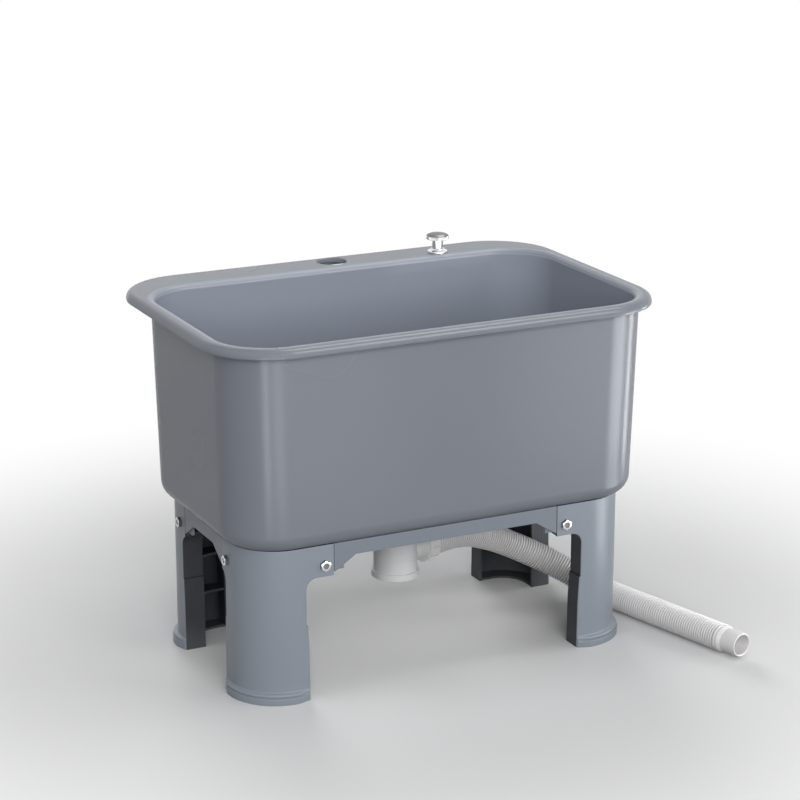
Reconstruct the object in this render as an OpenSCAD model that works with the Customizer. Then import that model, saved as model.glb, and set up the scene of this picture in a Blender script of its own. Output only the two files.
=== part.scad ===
// Free-standing mop sink: a moulded tub with a tap deck, on a bolted four-leg
// stand, with a lift-knob drain and a ribbed drain hose.
// Millimetres. The floor is z = 0, X runs left to right and Y front to back,
// and the origin lies under the middle of the rim.

/* [Tub] */
// Width of the rim, left to right
rim_w = 500; // [460:1:540]
// Depth of the rim, front to back
rim_d = 337; // [325:1:370]
// Height of the rim above the floor
rim_h = 377; // [350:1:420]
// Corner radius of the rim in plan
rim_corner = 74; // [66:1:80]
// Corner radius of the tub's outer wall in plan
tub_corner = 59; // [52:1:64]
// How far the rim stands out past the wall at the front and sides
rim_overhang = 13.5; // [12:0.5:18]
// How far the tap deck stands out past the rear wall
deck_overhang = 49; // [46:1:56]
// Wall of the moulding
tub_wall = 5; // [4:0.5:6]
// Lean of the walls, inwards for each millimetre down
wall_draft = 0.021; // [0.01:0.001:0.03]
// Height of the tub's underside above the floor
tub_base = 163; // [150:1:175]
// Radius of the bottom edge, outside
base_radius = 18; // [14:1:20]
// Radius of the bottom edge, inside
floor_radius = 22; // [16:1:28]
// Fall of the tub's floor towards the drain
floor_fall = 4; // [2:0.5:5]
// Height of the rim's turned-down lip
lip_height = 9.5; // [9.5:0.5:12]
// Wall of the lip
lip_wall = 4; // [3:0.5:5]
// Radius of the rim's outer top edge
rim_roll = 7; // [5:0.5:7.5]
// Radius of the rim's inner top edge
mouth_roll = 6; // [4:0.5:6.5]

/* [Tap deck] */
// Diameter of the tap hole
tap_hole_d = 32; // [28:0.5:35]
// Tap hole to the right of the middle
tap_hole_x = 2; // [-20:1:20]
// Middle of the tap hole from the deck's rear edge
tap_hole_back = 23; // [21:0.5:25]
// Knob to the right of the middle
knob_x = 125; // [115:1:132]
// Middle of the knob from the deck's rear edge
knob_back = 36; // [33:0.5:36]
// Thickness of the gussets under the deck
gusset_wall = 3; // [2:0.5:4]
// Height of the gussets under the deck
gusset_h = 26; // [18:1:34]

/* [Stand] */
// How far the stand is set in from the tub's bottom
stand_inset = 12; // [10:0.5:14]
// Corner radius of the legs
stand_corner = 50; // [44:1:54]
// Wall of the legs and aprons
leg_wall = 3; // [2.5:0.5:4]
// Width of a leg, seen from the front
leg_w = 62; // [59:1:66]
// Depth of a leg, seen from the side
leg_d = 62; // [59:1:66]
// Depth of a leg's return edges and webs
return_depth = 22; // [16:1:26]
// Thickness of the webs inside a leg
web_wall = 2.5; // [2:0.5:3.5]
// How much wider a leg is below its knee
knee_step = 2.2; // [1:0.2:3]
// Height of the knee above the floor
knee_h = 80; // [60:1:95]
// Height of the foot's skirt
foot_h = 11.5; // [9:0.5:14]
// How far the foot's skirt stands proud
foot_proud = 5.5; // [3:0.5:7]
// Length of a leg's tab at the front and rear
front_tab = 30; // [26:1:34]
// Length of a leg's tab at the sides
side_tab = 8; // [7:1:12]
// Height of the tabs
tab_h = 33.5; // [31:0.5:38]
// Radius of the arch under a tab
arch_r = 12; // [8:1:14]
// Height of the aprons in their middle
apron_h = 15; // [12:0.5:20]
// Height of the aprons at their ends
apron_end_h = 29; // [26:0.5:30]
// Length of the slope at an apron's end
apron_slope = 20; // [16:1:26]
// Gap at the joint of a leg and an apron
joint_gap = 0.6; // [0.4:0.1:1]
// Width of the ledge that carries the tub
ledge_w = 14; // [12:1:18]

/* [Fasteners] */
// Thread diameter of the bolts
bolt_d = 6; // [5:0.5:6.5]
// Size of the heads and nuts across their corners
hex_d = 11.5; // [11:0.5:12.5]
// Bolt to the end of a front or rear tab
front_bolt_inset = 10; // [9:0.5:12]
// Bolt to the end of a side tab
side_bolt_inset = 13; // [12:0.5:15]
// Bolts below the tub
bolt_drop = 21.5; // [19:0.5:23]

/* [Drain] */
// Drain behind the middle of the rim
drain_y = -16; // [-22:1:-10]
// Diameter of the flange's neck
neck_d = 46; // [42:1:50]
// Wall of the flange's neck
neck_wall = 3.5; // [3:0.5:4.5]
// Diameter of the drain flange
flange_d = 76; // [70:1:80]
// Thickness of the flange and of its gaskets
flange_t = 3; // [2.5:0.5:3.5]
// Thickness of a gasket
gasket_t = 2; // [1.5:0.5:3]
// Height of the lock nut
lock_nut_h = 8; // [7:0.5:10]
// Height of the outlet's middle below the tub
outlet_drop = 71; // [66:1:76]
// Bore of the outlet and of the hose
outlet_bore = 24; // [20:0.5:25]
// Reach of the outlet, drain's middle to the hose
outlet_reach = 50; // [48:1:54]

/* [Lift knob] */
// Travel of the knob
knob_travel = 10; // [8:0.5:10.5]
// Diameter of the knob's cap
knob_d = 25; // [22:0.5:28]
// Diameter of the knob's stem
knob_stem_d = 13; // [11:0.5:13]
// Height of the collar above the deck
collar_h = 4.6; // [4:0.2:8]
// Length of each arm of the lever in the drain
lever_arm = 12; // [11:0.5:12.5]
// Diameter of the cable's sheath
cable_d = 6; // [5:0.5:7]
// Radius of the cable's bend
cable_bend = 45; // [35:1:55]

/* [Hose] */
// Outer diameter over the ribs
hose_d = 30; // [28:0.5:30]
// Pitch of the ribs
rib_pitch = 3.2; // [3:0.1:6]
// Depth of the grooves between the ribs
rib_depth = 1.5; // [1:0.1:2]
// Diameter of the connector's spigot
spigot_d = 26; // [24.5:0.5:28]
// Length of the connector's spigot
spigot_l = 20; // [14:1:26]
// Length of the connector's collar
cuff_l = 9; // [7:0.5:12]

/* [Hidden] */
$fn = 64;

// Clearances
overrun = 1;       // how far a cutter runs past a face
bolt_play = 0.3;   // round a bolt in its hole
slide_play = 0.1;  // round a stem that slides
pin_play = 0.06;   // round the lever's pin
seat_gap = 0.3;    // between a moving piece and its stop

// Colours
tub_color = "#80858e";
stand_color = "#8b939c";
steel_color = "#c9ccd0";
hose_color = "#e1e0e0";
fitting_color = "#d9dadb";
rubber_color = "#2b2c2e";
brass_color = "#b8a06a";

// Tub: offsets of its walls from the rim's outline
base_draft = wall_draft * (rim_h - tub_base);
side_base = rim_overhang + base_draft;
rear_base = deck_overhang + base_draft;
deck_under = rim_h - tub_wall;
corner_steps = 8;
arc_steps = 5;

// Drain: heights from the tub's floor down to the drain body
recess_r = flange_d / 2 + 4;
boss_r = recess_r + 3;
floor_low = tub_base + tub_wall - floor_fall;
recess_floor = floor_low - gasket_t - flange_t - 0.5;
boss_under = recess_floor - tub_wall;
neck_r = neck_d / 2;
hole_r = neck_r + 0.5;
throat_r = neck_r - neck_wall;
flange_z = recess_floor + gasket_t;
nut_top = boss_under - gasket_t;
socket_top = nut_top - lock_nut_h;
socket_depth = 11.5;
socket_step = socket_top - socket_depth + gasket_t;
body_wall = 3.5;
chamber_r = neck_r - 3;
chamber_top = socket_step - gasket_t;
outlet_z = tub_base - outlet_drop;
outlet_r = outlet_bore / 2 + 3;
outlet_heading = [24, 7] / 25;
outlet_turn = atan2(outlet_heading[1], outlet_heading[0]);
body_floor = outlet_z - outlet_bore / 2 - 6;
hose_nut_lip = 4;
hose_nut_l = 14;
outlet_end = outlet_reach - hose_nut_lip - gasket_t;

// Stopper: closed heights and the seat in the flange
seat_low_r = throat_r;
seat_high_r = throat_r + 6;
seat_depth = 5.5;
seal_t = 2;
seal_lift = 2;
seal_under = flange_z + flange_t - seat_depth + seal_lift;
seal_r = seat_low_r + (seat_high_r - seat_low_r) * seal_lift / seat_depth - seat_gap;
cap_dome_h = 5;
stem_r = 3;
guide_z = flange_z - 10;
guide_h = 4;

// Lever: a bell crank on a pin across the drain body
knob_y = rim_d / 2 - knob_back;
port_run = norm([knob_x, knob_y - drain_y]);
port_turn = atan2(knob_y - drain_y, knob_x);
lever_swing = knob_travel / lever_arm * 180 / PI;
stopper_travel = 2 * lever_arm * sin(lever_swing / 2);
lever_tip_r = 2.5;
arm_half_t = 1.3;
pull_half_t = 1.8;
lever_hub_r = 4;
lever_width = 6;
pin_r = 1.5;
pivot_z = tub_base - 51;
port_z = pivot_z + lever_arm;
port_r = 7.5;
port_end = 34;
gland_l = 8;
stopper_foot = pivot_z + lever_arm * sin(lever_swing / 2) + lever_tip_r + seat_gap;

// Knob: heights from the deck up and down
collar_top = rim_h + collar_h;
cap_under = collar_top + knob_travel + 0.4;
cap_h = 7;
collar_tube_r = knob_stem_d / 2 + 2;
collar_bottom = rim_h - 20;
collar_floor_t = 3;
rod_r = 2;
stem_shoulder = collar_bottom + collar_floor_t + knob_travel + 1;
knob_washer_t = 1;
knob_nut_h = 7;
ferrule_r = 4.5;
ferrule_l = 22;
ferrule_bottom = collar_bottom - ferrule_l;

// Stand: its outline and the places of its bolts
stand_x = rim_w / 2 - side_base - stand_inset;
stand_front = -rim_d / 2 + side_base + stand_inset;
stand_rear = rim_d / 2 - rear_base - stand_inset;
stand_mid = (stand_front + stand_rear) / 2;
ledge_t = 3;
web_heights = [0, 0.26, 0.52, 0.76];
bolt_z = tub_base - bolt_drop;
bolt_x = stand_x - leg_w - front_tab + front_bolt_inset;
bolt_y = leg_d + side_tab - side_bolt_inset;
tongue_lap = 12;
tongue_reach = 20;
head_h = 4;
washer_t = 1.2;
nut_h = 5;
bolt_places = [
  for (side = [-1, 1]) [side * bolt_x, stand_front, 0],
  for (side = [-1, 1]) [side * bolt_x, stand_rear, 180],
  for (side = [-1, 1]) [side * stand_x, stand_front + bolt_y, side * 90],
  for (side = [-1, 1]) [side * stand_x, stand_rear - bolt_y, side * 90]];

// Hose: the middle of its route, from the nut's face to the connector
hose_route = [
  [48, -2, 92], [60, 1.5, 92], [72, 5, 92], [84, 8.5, 91.5], [105, 14.5, 87.5],
  [126, 18.5, 80], [147, 19.5, 71], [167, 16, 61], [186, 9.5, 51], [204, -0.5, 41],
  [219.5, -13.5, 31.5], [232.5, -29, 23], [243, -46.5, 17.5], [251, -65, 15],
  [256, -85, 15], [264, -117, 15], [272, -149, 15], [280, -181, 15], [284, -197, 15],
  [288, -213, 15]];
hose_sides = 8;
route_steps = 6;
bore_step = 14;

// A point on the smooth curve between b and c, with a and d beyond them
function curve_point(a, b, c, d, t) =
  0.5 * (2 * b + (c - a) * t + (2 * a - 5 * b + 4 * c - d) * t * t
         + (3 * b - a - 3 * c + d) * t * t * t);

// The route's points joined by smooth curves
function smooth(points) =
  let (last = len(points) - 1)
  [for (i = [0 : last - 1], k = [0 : route_steps - 1])
     let (before = i == 0 ? 2 * points[0] - points[1] : points[i - 1],
          after = i + 1 == last ? 2 * points[last] - points[last - 1] : points[i + 2])
     curve_point(before, points[i], points[i + 1], after, k / route_steps),
   points[last]];

// Length along a line up to each of its points
function lengths_along(line, i = 0, sum = 0, made = []) =
  i == len(line) ? made
  : let (next = i == 0 ? 0 : sum + norm(line[i] - line[i - 1]))
    lengths_along(line, i + 1, next, concat(made, [next]));

// The route, kept on the floor
hose_line = [for (point = smooth(hose_route))
  [point[0], point[1], max(point[2], hose_d / 2)]];
hose_lengths = lengths_along(hose_line);
hose_length = hose_lengths[len(hose_lengths) - 1];
hose_table = [for (axis = [0 : 2]) [for (i = [0 : len(hose_line) - 1])
  [hose_lengths[i], hose_line[i][axis]]]];

// The middle of the hose at a length along it
function hose_at(s) = [for (axis = [0 : 2]) lookup(s, hose_table[axis])];

// One ring of the hose's surface, square to its route
function hose_ring(s, radius) =
  let (reach = 1,
       run = hose_at(min(s + reach, hose_length)) - hose_at(max(s - reach, 0)),
       ahead = run / norm(run),
       flat = cross(ahead, [0, 0, 1]),
       side = flat / norm(flat),
       up = cross(side, ahead))
  [for (k = [0 : hose_sides - 1])
     hose_at(s) + radius * (cos(360 * k / hose_sides) * side
                            + sin(360 * k / hose_sides) * up)];

// Triangles between rings of n points that follow each other
function band_faces(rings, n) =
  [for (r = [0 : rings - 2], k = [0 : n - 1])
     let (a = r * n + k, b = r * n + (k + 1) % n)
     each [[a, a + n, b], [b, a + n, b + n]]];

// A ring round the tub: offsets from the rim's outline, corner radius, height
function tub_ring(side, front, rear, corner, z) =
  let (x = rim_w / 2 - side - corner,
       y_rear = rim_d / 2 - rear - corner,
       y_front = -rim_d / 2 + front + corner,
       middles = [[x, y_rear], [-x, y_rear], [-x, y_front], [x, y_front]])
  [for (q = [0 : 3], k = [0 : corner_steps])
     let (angle = 90 * (q + k / corner_steps))
     [middles[q][0] + corner * cos(angle), middles[q][1] + corner * sin(angle), z]];

// A ring of as many points round the drain
function drain_ring(radius, z) =
  let (step = 90 / (corner_steps + 1))
  [for (k = [0 : 4 * (corner_steps + 1) - 1])
     let (angle = (k + 0.5) * step)
     [radius * cos(angle), drain_y + radius * sin(angle), z]];

// A ring on a wall of the tub, set in from its outside at that height
function wall_ring(inset, z) =
  let (lean = wall_draft * (rim_h - z) + inset)
  tub_ring(rim_overhang + lean, rim_overhang + lean, deck_overhang + lean,
           tub_corner - inset, z);

// The tub's surface: up the outside, over the rim and down the inside
tub_rings = concat(
  [drain_ring(boss_r, boss_under), drain_ring(boss_r + 3, tub_base - floor_fall)],
  [wall_ring(base_radius + ledge_w, tub_base)],
  [for (k = [0 : arc_steps])
     let (a = 90 * k / arc_steps)
     wall_ring(base_radius * (1 - sin(a)), tub_base + base_radius * (1 - cos(a)))],
  [wall_ring(0, deck_under)],
  [for (z = [deck_under, rim_h - lip_height])
     tub_ring(lip_wall, lip_wall, lip_wall, rim_corner - lip_wall, z)],
  [tub_ring(1, 1, 1, rim_corner - 1, rim_h - lip_height)],
  [tub_ring(0, 0, 0, rim_corner, rim_h - lip_height + 1)],
  [for (k = [0 : arc_steps])
     let (a = 90 * k / arc_steps, inset = rim_roll * (1 - cos(a)))
     tub_ring(inset, inset, inset, rim_corner - inset, rim_h - rim_roll * (1 - sin(a)))],
  [for (k = [0 : arc_steps])
     let (a = 90 * k / arc_steps)
     wall_ring(tub_wall - mouth_roll * (1 - sin(a)), rim_h - mouth_roll * (1 - cos(a)))],
  [for (k = [0 : arc_steps])
     let (a = 90 * k / arc_steps)
     wall_ring(tub_wall + floor_radius * (1 - cos(a)),
               tub_base + tub_wall + floor_radius * (1 - sin(a)))],
  [drain_ring(recess_r, floor_low), drain_ring(recess_r - 2, recess_floor)]);

// A tube along Z
module ring(outer, inner, height) {
  difference() {
    cylinder(r = outer, h = height);
    translate([0, 0, -overrun]) cylinder(r = inner, h = height + 2 * overrun);
  }
}

// Places its children on the drain's axis
module at_drain() {
  translate([0, drain_y, 0]) children();
}

// Places its children over the knob's hole
module at_knob() {
  translate([knob_x, knob_y, 0]) children();
}

// Turns its children so that Z runs out along the outlet
module along_outlet(start) {
  at_drain() rotate([0, 0, outlet_turn]) translate([start, 0, outlet_z])
    rotate([0, 90, 0]) children();
}

// Turns its children so that X runs from the drain towards the knob
module towards_knob() {
  at_drain() rotate([0, 0, port_turn]) children();
}

// The tub, with its bores
module basin() {
  n = 4 * (corner_steps + 1);
  rings = len(tub_rings);
  points = [for (ring_points = tub_rings, point = ring_points) point];
  faces = concat([[for (k = [0 : n - 1]) k]],
                 [for (f = band_faces(rings, n)) [f[0], f[1], f[2]]],
                 [[for (k = [n - 1 : -1 : 0]) (rings - 1) * n + k]]);
  color(tub_color) difference() {
    union() {
      polyhedron(points = points, faces = faces);
      for (x = [-0.36, -0.12, 0.12, 0.36]) translate([x * rim_w, 0, 0]) gusset();
    }
    translate([tap_hole_x, rim_d / 2 - tap_hole_back, deck_under - overrun])
      cylinder(d = tap_hole_d, h = tub_wall + 2 * overrun);
    at_knob() translate([0, 0, deck_under - overrun])
      cylinder(r = collar_tube_r + bolt_play, h = tub_wall + 2 * overrun);
    at_drain() translate([0, 0, boss_under - overrun])
      cylinder(r = hole_r, h = tub_wall + 2 * overrun);
  }
}

// A gusset between the rear wall and the deck
module gusset() {
  wall_y = rim_d / 2 - deck_overhang - wall_draft * tub_wall;
  root_y = wall_y - tub_wall / 2;
  lip_y = rim_d / 2 - lip_wall / 2;
  toe_z = deck_under - lip_height + tub_wall + 2;
  rotate([90, 0, 90]) translate([0, 0, -gusset_wall / 2]) linear_extrude(gusset_wall)
    polygon([[root_y, deck_under - gusset_h], [wall_y, deck_under - gusset_h],
             [lip_y, toe_z], [lip_y, deck_under + overrun],
             [root_y, deck_under + overrun]]);
}

// A band of one width round the corner of a leg, in plan
module corner_band(width, len_x, len_y, r) {
  translate([r, 0]) square([len_x - r, width]);
  translate([0, r]) square([width, len_y - r]);
  intersection() {
    translate([r, r]) difference() {
      circle(r);
      circle(r - width);
    }
    square([r, r]);
  }
}

// What one face of a leg has past its plain skin: its return, knee, arch and tab
module leg_face(width, tab) {
  arch_z = tub_base - tab_h;
  translate([width - leg_wall, 0, 0])
    cube([leg_wall, return_depth, arch_z - arch_r]);
  translate([width - leg_wall, 0, 0])
    cube([leg_wall + knee_step, return_depth, knee_h]);
  translate([width, 0, arch_z]) cube([tab, leg_wall, tab_h]);
  intersection() {
    translate([width - leg_wall, 0, arch_z - arch_r])
      cube([leg_wall + tab, return_depth, arch_r + leg_wall]);
    union() {
      translate([width + arch_r, 0, arch_z])
        cube([tab, return_depth, leg_wall]);
      translate([width + arch_r, return_depth, arch_z - arch_r])
        rotate([90, 0, 0]) intersection() {
          ring(arch_r + leg_wall, arch_r, return_depth);
          translate([-2 * arch_r, 0, 0])
            cube([2 * arch_r, 2 * arch_r, return_depth]);
        }
      translate([width - leg_wall, 0, arch_z - arch_r]) difference() {
        cube([leg_wall + arch_r, leg_wall, arch_r + leg_wall]);
        translate([leg_wall + arch_r, -overrun, 0]) rotate([-90, 0, 0])
          cylinder(r = arch_r, h = leg_wall + 2 * overrun);
      }
    }
  }
}

// A leg, with the stand's corner at the origin and its faces along X and Y
module leg() {
  column_top = tub_base - ledge_t;
  skirt_r = stand_corner + foot_proud;
  color(stand_color) difference() {
    union() {
      linear_extrude(tub_base) corner_band(leg_wall, leg_w, leg_d, stand_corner);
      translate([0, 0, column_top]) linear_extrude(ledge_t)
        corner_band(ledge_w, leg_w + front_tab, leg_d + side_tab, stand_corner);
      for (share = web_heights) translate([0, 0, share * tub_base])
        linear_extrude(web_wall) corner_band(return_depth, leg_w, leg_d, stand_corner);
      translate([-foot_proud, -foot_proud, 0]) {
        linear_extrude(foot_h - 2)
          corner_band(foot_proud + leg_wall / 2, leg_w + foot_proud, leg_d + foot_proud,
                      skirt_r);
        translate([1, 1, 0]) linear_extrude(foot_h)
          corner_band(foot_proud, leg_w + foot_proud - 2, leg_d + foot_proud - 2,
                      skirt_r - 1);
      }
      leg_face(leg_w, front_tab);
      mirror([1, -1, 0]) leg_face(leg_d, side_tab);
    }
    translate([leg_w + front_tab - front_bolt_inset, -overrun, bolt_z])
      rotate([-90, 0, 0])
      cylinder(d = bolt_d + 2 * bolt_play, h = leg_wall + 2 * overrun);
    translate([-overrun, bolt_y, bolt_z]) rotate([0, 90, 0])
      cylinder(d = bolt_d + 2 * bolt_play, h = leg_wall + 2 * overrun);
  }
}

module leg_front_left() {
  translate([-stand_x, stand_front, 0]) leg();
}

module leg_front_right() {
  translate([stand_x, stand_front, 0]) mirror([1, 0, 0]) leg();
}

module leg_rear_left() {
  translate([-stand_x, stand_rear, 0]) mirror([0, 1, 0]) leg();
}

module leg_rear_right() {
  translate([stand_x, stand_rear, 0]) rotate([0, 0, 180]) leg();
}

// An apron of half its length, with its outer face at y = 0; the bolts are in its
// tongues, which lie behind the legs' tabs
module apron(half, bolt_inset) {
  slope_end = half - 4;
  slope_start = slope_end - apron_slope;
  tongue_h = apron_end_h - ledge_t - 1;
  color(stand_color) difference() {
    union() {
      translate([0, leg_wall, 0]) rotate([90, 0, 0]) linear_extrude(leg_wall)
        polygon([[-half, tub_base], [half, tub_base], [half, tub_base - apron_end_h - 1],
                 [slope_end, tub_base - apron_end_h + 1], [slope_start, tub_base - apron_h],
                 [-slope_start, tub_base - apron_h],
                 [-slope_end, tub_base - apron_end_h + 1],
                 [-half, tub_base - apron_end_h - 1]]);
      translate([-half, 0, tub_base - ledge_t]) cube([2 * half, ledge_w, ledge_t]);
      for (side = [-1, 1])
        translate([side * (half + (tongue_reach - tongue_lap) / 2), 1.5 * leg_wall,
                   tub_base - ledge_t - 1 - tongue_h / 2])
          cube([tongue_lap + tongue_reach, leg_wall, tongue_h], center = true);
    }
    for (side = [-1, 1])
      translate([side * (half + joint_gap + bolt_inset), 0, bolt_z]) rotate([-90, 0, 0])
        cylinder(d = bolt_d + 2 * bolt_play, h = 2 * leg_wall + overrun);
  }
}

module apron_front() {
  translate([0, stand_front, 0])
    apron(stand_x - leg_w - front_tab - joint_gap, front_bolt_inset);
}

module apron_rear() {
  translate([0, stand_rear, 0]) rotate([0, 0, 180])
    apron(stand_x - leg_w - front_tab - joint_gap, front_bolt_inset);
}

module side_apron(side) {
  translate([side * stand_x, stand_mid, 0]) rotate([0, 0, side * 90])
    apron((stand_rear - stand_front) / 2 - leg_d - side_tab - joint_gap, side_bolt_inset);
}

module apron_left() {
  side_apron(-1);
}

module apron_right() {
  side_apron(1);
}

// Puts its children at every bolt, with Z pointing into the stand
module at_bolts() {
  for (place = bolt_places)
    translate([place[0], place[1], bolt_z]) rotate([0, 0, place[2]])
      rotate([-90, 0, 0]) children();
}

module frame_bolts() {
  reach = 2 * leg_wall + washer_t + nut_h + 2;
  color(steel_color) at_bolts() difference() {
    union() {
      translate([0, 0, -head_h]) cylinder(d = hex_d, h = head_h, $fn = 6);
      translate([0, 0, -overrun]) cylinder(d = bolt_d, h = reach + overrun);
    }
    translate([0, 0, -head_h - overrun]) cylinder(r = 2.8, h = overrun + 0.8);
  }
}

module frame_washers() {
  color(steel_color) at_bolts() translate([0, 0, 2 * leg_wall])
    ring(hex_d / 2 + 0.6, bolt_d / 2 + bolt_play, washer_t);
}

module frame_nuts() {
  color(steel_color) at_bolts() translate([0, 0, 2 * leg_wall + washer_t]) difference() {
    cylinder(d = hex_d, h = nut_h, $fn = 6);
    translate([0, 0, -overrun]) cylinder(d = bolt_d + 0.1, h = nut_h + 2 * overrun);
  }
}

// The flange in the tub's floor, with its seat, neck and stem guide
module drain_flange() {
  color(steel_color) at_drain() {
    difference() {
      union() {
        translate([0, 0, flange_z]) cylinder(d = flange_d, h = flange_t);
        translate([0, 0, socket_step]) cylinder(d = neck_d, h = flange_z - socket_step);
      }
      translate([0, 0, socket_step - overrun])
        cylinder(r = throat_r, h = flange_z - socket_step + flange_t + 2 * overrun);
      translate([0, 0, flange_z + flange_t - seat_depth])
        cylinder(r1 = seat_low_r, r2 = seat_high_r, h = seat_depth + 0.01);
    }
    translate([0, 0, guide_z]) {
      ring(stem_r + 2.5, stem_r + slide_play, guide_h);
      for (turn = [45 : 90 : 315]) rotate([0, 0, turn])
        translate([stem_r + 1.5, -1, 0]) cube([throat_r - stem_r, 2, guide_h]);
    }
  }
}

module drain_gasket_upper() {
  color(rubber_color) at_drain() translate([0, 0, recess_floor])
    ring(flange_d / 2 - 3, hole_r, gasket_t);
}

module drain_gasket_lower() {
  color(rubber_color) at_drain() translate([0, 0, nut_top])
    ring(neck_r + 9, hole_r, gasket_t);
}

// The nut that clamps the drain to the tub, with eight lugs
module drain_lock_nut() {
  lugs = 8;
  color(fitting_color) at_drain() translate([0, 0, socket_top]) difference() {
    union() {
      cylinder(r = neck_r + 6, h = lock_nut_h);
      translate([0, 0, lock_nut_h - 2]) cylinder(r = neck_r + 10, h = 2);
      for (k = [0 : lugs - 1]) rotate([0, 0, 360 * k / lugs])
        translate([neck_r + 5, -2, 0]) cube([4.5, 4, lock_nut_h - 1]);
    }
    translate([0, 0, -overrun]) cylinder(r = neck_r + pin_play, h = lock_nut_h + 2 * overrun);
  }
}

module drain_seal() {
  color(rubber_color) at_drain() translate([0, 0, chamber_top])
    ring(neck_r, chamber_r + 0.5, gasket_t);
}

// The drain body: a socket on the neck, a chamber, the hose outlet and the cable port
module drain_body() {
  outer = chamber_r + body_wall;
  color(fitting_color) difference() {
    union() {
      at_drain() {
        translate([0, 0, chamber_top]) cylinder(r = neck_r + 4, h = socket_depth);
        translate([0, 0, chamber_top - 4]) cylinder(r1 = outer, r2 = neck_r + 4, h = 4);
        translate([0, 0, body_floor - 3]) cylinder(r = outer, h = chamber_top - body_floor);
        translate([0, 0, body_floor - 6]) cylinder(r = outer + 2, h = 7);
      }
      along_outlet(0) cylinder(r = outlet_r, h = outlet_end);
      towards_knob() translate([0, 0, port_z]) rotate([0, 90, 0])
        cylinder(r = port_r, h = port_end);
      towards_knob() translate([lever_arm, 0, pivot_z]) rotate([90, 0, 0])
        cylinder(r = 4, h = 2 * (chamber_r + 1), center = true);
    }
    at_drain() {
      translate([0, 0, body_floor]) cylinder(r = chamber_r, h = chamber_top - body_floor + overrun);
      translate([0, 0, chamber_top]) cylinder(r = neck_r + slide_play, h = socket_depth + overrun);
    }
    along_outlet(0) cylinder(d = outlet_bore, h = outlet_end + overrun);
    towards_knob() translate([0, 0, port_z]) rotate([0, 90, 0])
      cylinder(r = cable_d / 2 + slide_play, h = port_end + overrun);
    towards_knob() translate([lever_arm, 0, pivot_z]) rotate([90, 0, 0])
      cylinder(r = pin_r, h = 3 * chamber_r, center = true);
  }
}

module lever_pin() {
  half_width = sqrt(pow(chamber_r + body_wall, 2) - pow(lever_arm, 2));
  color(brass_color) towards_knob() translate([lever_arm, 0, pivot_z]) rotate([90, 0, 0])
    cylinder(r = pin_r, h = 2 * half_width, center = true);
}

// The bell crank that lifts the stopper when the cable pulls its upper arm
module lift_lever() {
  color(brass_color) towards_knob() translate([lever_arm, 0, pivot_z])
    rotate([0, lever_swing / 2, 0]) rotate([90, 0, 0])
    difference() {
      translate([0, 0, -lever_width / 2]) {
        cylinder(r = lever_hub_r, h = lever_width);
        translate([-lever_arm, 0, 0]) cylinder(r = lever_tip_r, h = lever_width);
        translate([-lever_arm, -arm_half_t, 0])
          cube([lever_arm, 2 * arm_half_t, lever_width]);
        translate([0, lever_arm, 0]) cylinder(r = pull_half_t, h = lever_width);
        translate([-pull_half_t, 0, 0])
          cube([2 * pull_half_t, lever_arm, lever_width]);
      }
      cylinder(r = pin_r + pin_play, h = 2 * lever_width, center = true);
    }
}

// The stopper's pieces are drawn closed and raised by its travel
module stopper_raised() {
  at_drain() translate([0, 0, stopper_travel]) children();
}

module stopper_cap() {
  cap_r = seal_r + 1;
  dome_r = (cap_r * cap_r + cap_dome_h * cap_dome_h) / (2 * cap_dome_h);
  color(steel_color) stopper_raised() translate([0, 0, seal_under + seal_t])
    intersection() {
      cylinder(r = cap_r, h = cap_dome_h + 1);
      translate([0, 0, cap_dome_h + 1 - dome_r]) sphere(r = dome_r, $fn = 96);
    }
}

module stopper_seal() {
  color(rubber_color) stopper_raised() translate([0, 0, seal_under])
    ring(seal_r, stem_r + slide_play, seal_t);
}

module stopper_stem() {
  top = seal_under + seal_t + stopper_travel;
  color(steel_color) at_drain() translate([0, 0, stopper_foot])
    cylinder(r = stem_r, h = top - stopper_foot);
}

// The knob's cap, crowned and knurled
module knob_cap() {
  ridges = 24;
  crown = 1.6;
  cap_r = knob_d / 2;
  crown_r = (cap_r * cap_r + crown * crown) / (2 * crown);
  color(steel_color) at_knob() translate([0, 0, cap_under]) difference() {
    intersection() {
      cylinder(r = cap_r, h = cap_h);
      translate([0, 0, cap_h - crown_r]) sphere(r = crown_r, $fn = 96);
    }
    translate([0, 0, -overrun]) cylinder(r = 4 + pin_play, h = overrun + 3.1);
    for (k = [0 : ridges - 1]) rotate([0, 0, 360 * k / ridges])
      translate([cap_r + 0.4, 0, 0.8]) cylinder(r = 0.8, h = cap_h - crown - 1.2, $fn = 16);
  }
}

module knob_stem() {
  color(steel_color) at_knob() {
    translate([0, 0, stem_shoulder])
      cylinder(d = knob_stem_d, h = cap_under - stem_shoulder);
    translate([0, 0, cap_under - overrun]) cylinder(r = 4, h = 3 + overrun);
    translate([0, 0, ferrule_bottom + knob_travel + 2])
      cylinder(r = rod_r, h = stem_shoulder - ferrule_bottom - knob_travel);
  }
}

// The collar on the deck, with the threaded tube below it
module knob_collar() {
  color(steel_color) at_knob() difference() {
    union() {
      translate([0, 0, rim_h]) cylinder(r = knob_d / 2 - 1.5, h = 2.5);
      translate([0, 0, rim_h + 2.5])
        cylinder(r1 = knob_d / 2 - 2.5, r2 = knob_stem_d / 2 + 1, h = collar_h - 2.5);
      translate([0, 0, collar_bottom])
        cylinder(r = collar_tube_r, h = rim_h - collar_bottom + 1);
    }
    translate([0, 0, collar_bottom + collar_floor_t])
      cylinder(d = knob_stem_d + 2 * slide_play, h = collar_top);
    translate([0, 0, collar_bottom - overrun])
      cylinder(r = rod_r + slide_play, h = collar_floor_t + 2 * overrun);
  }
}

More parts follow.
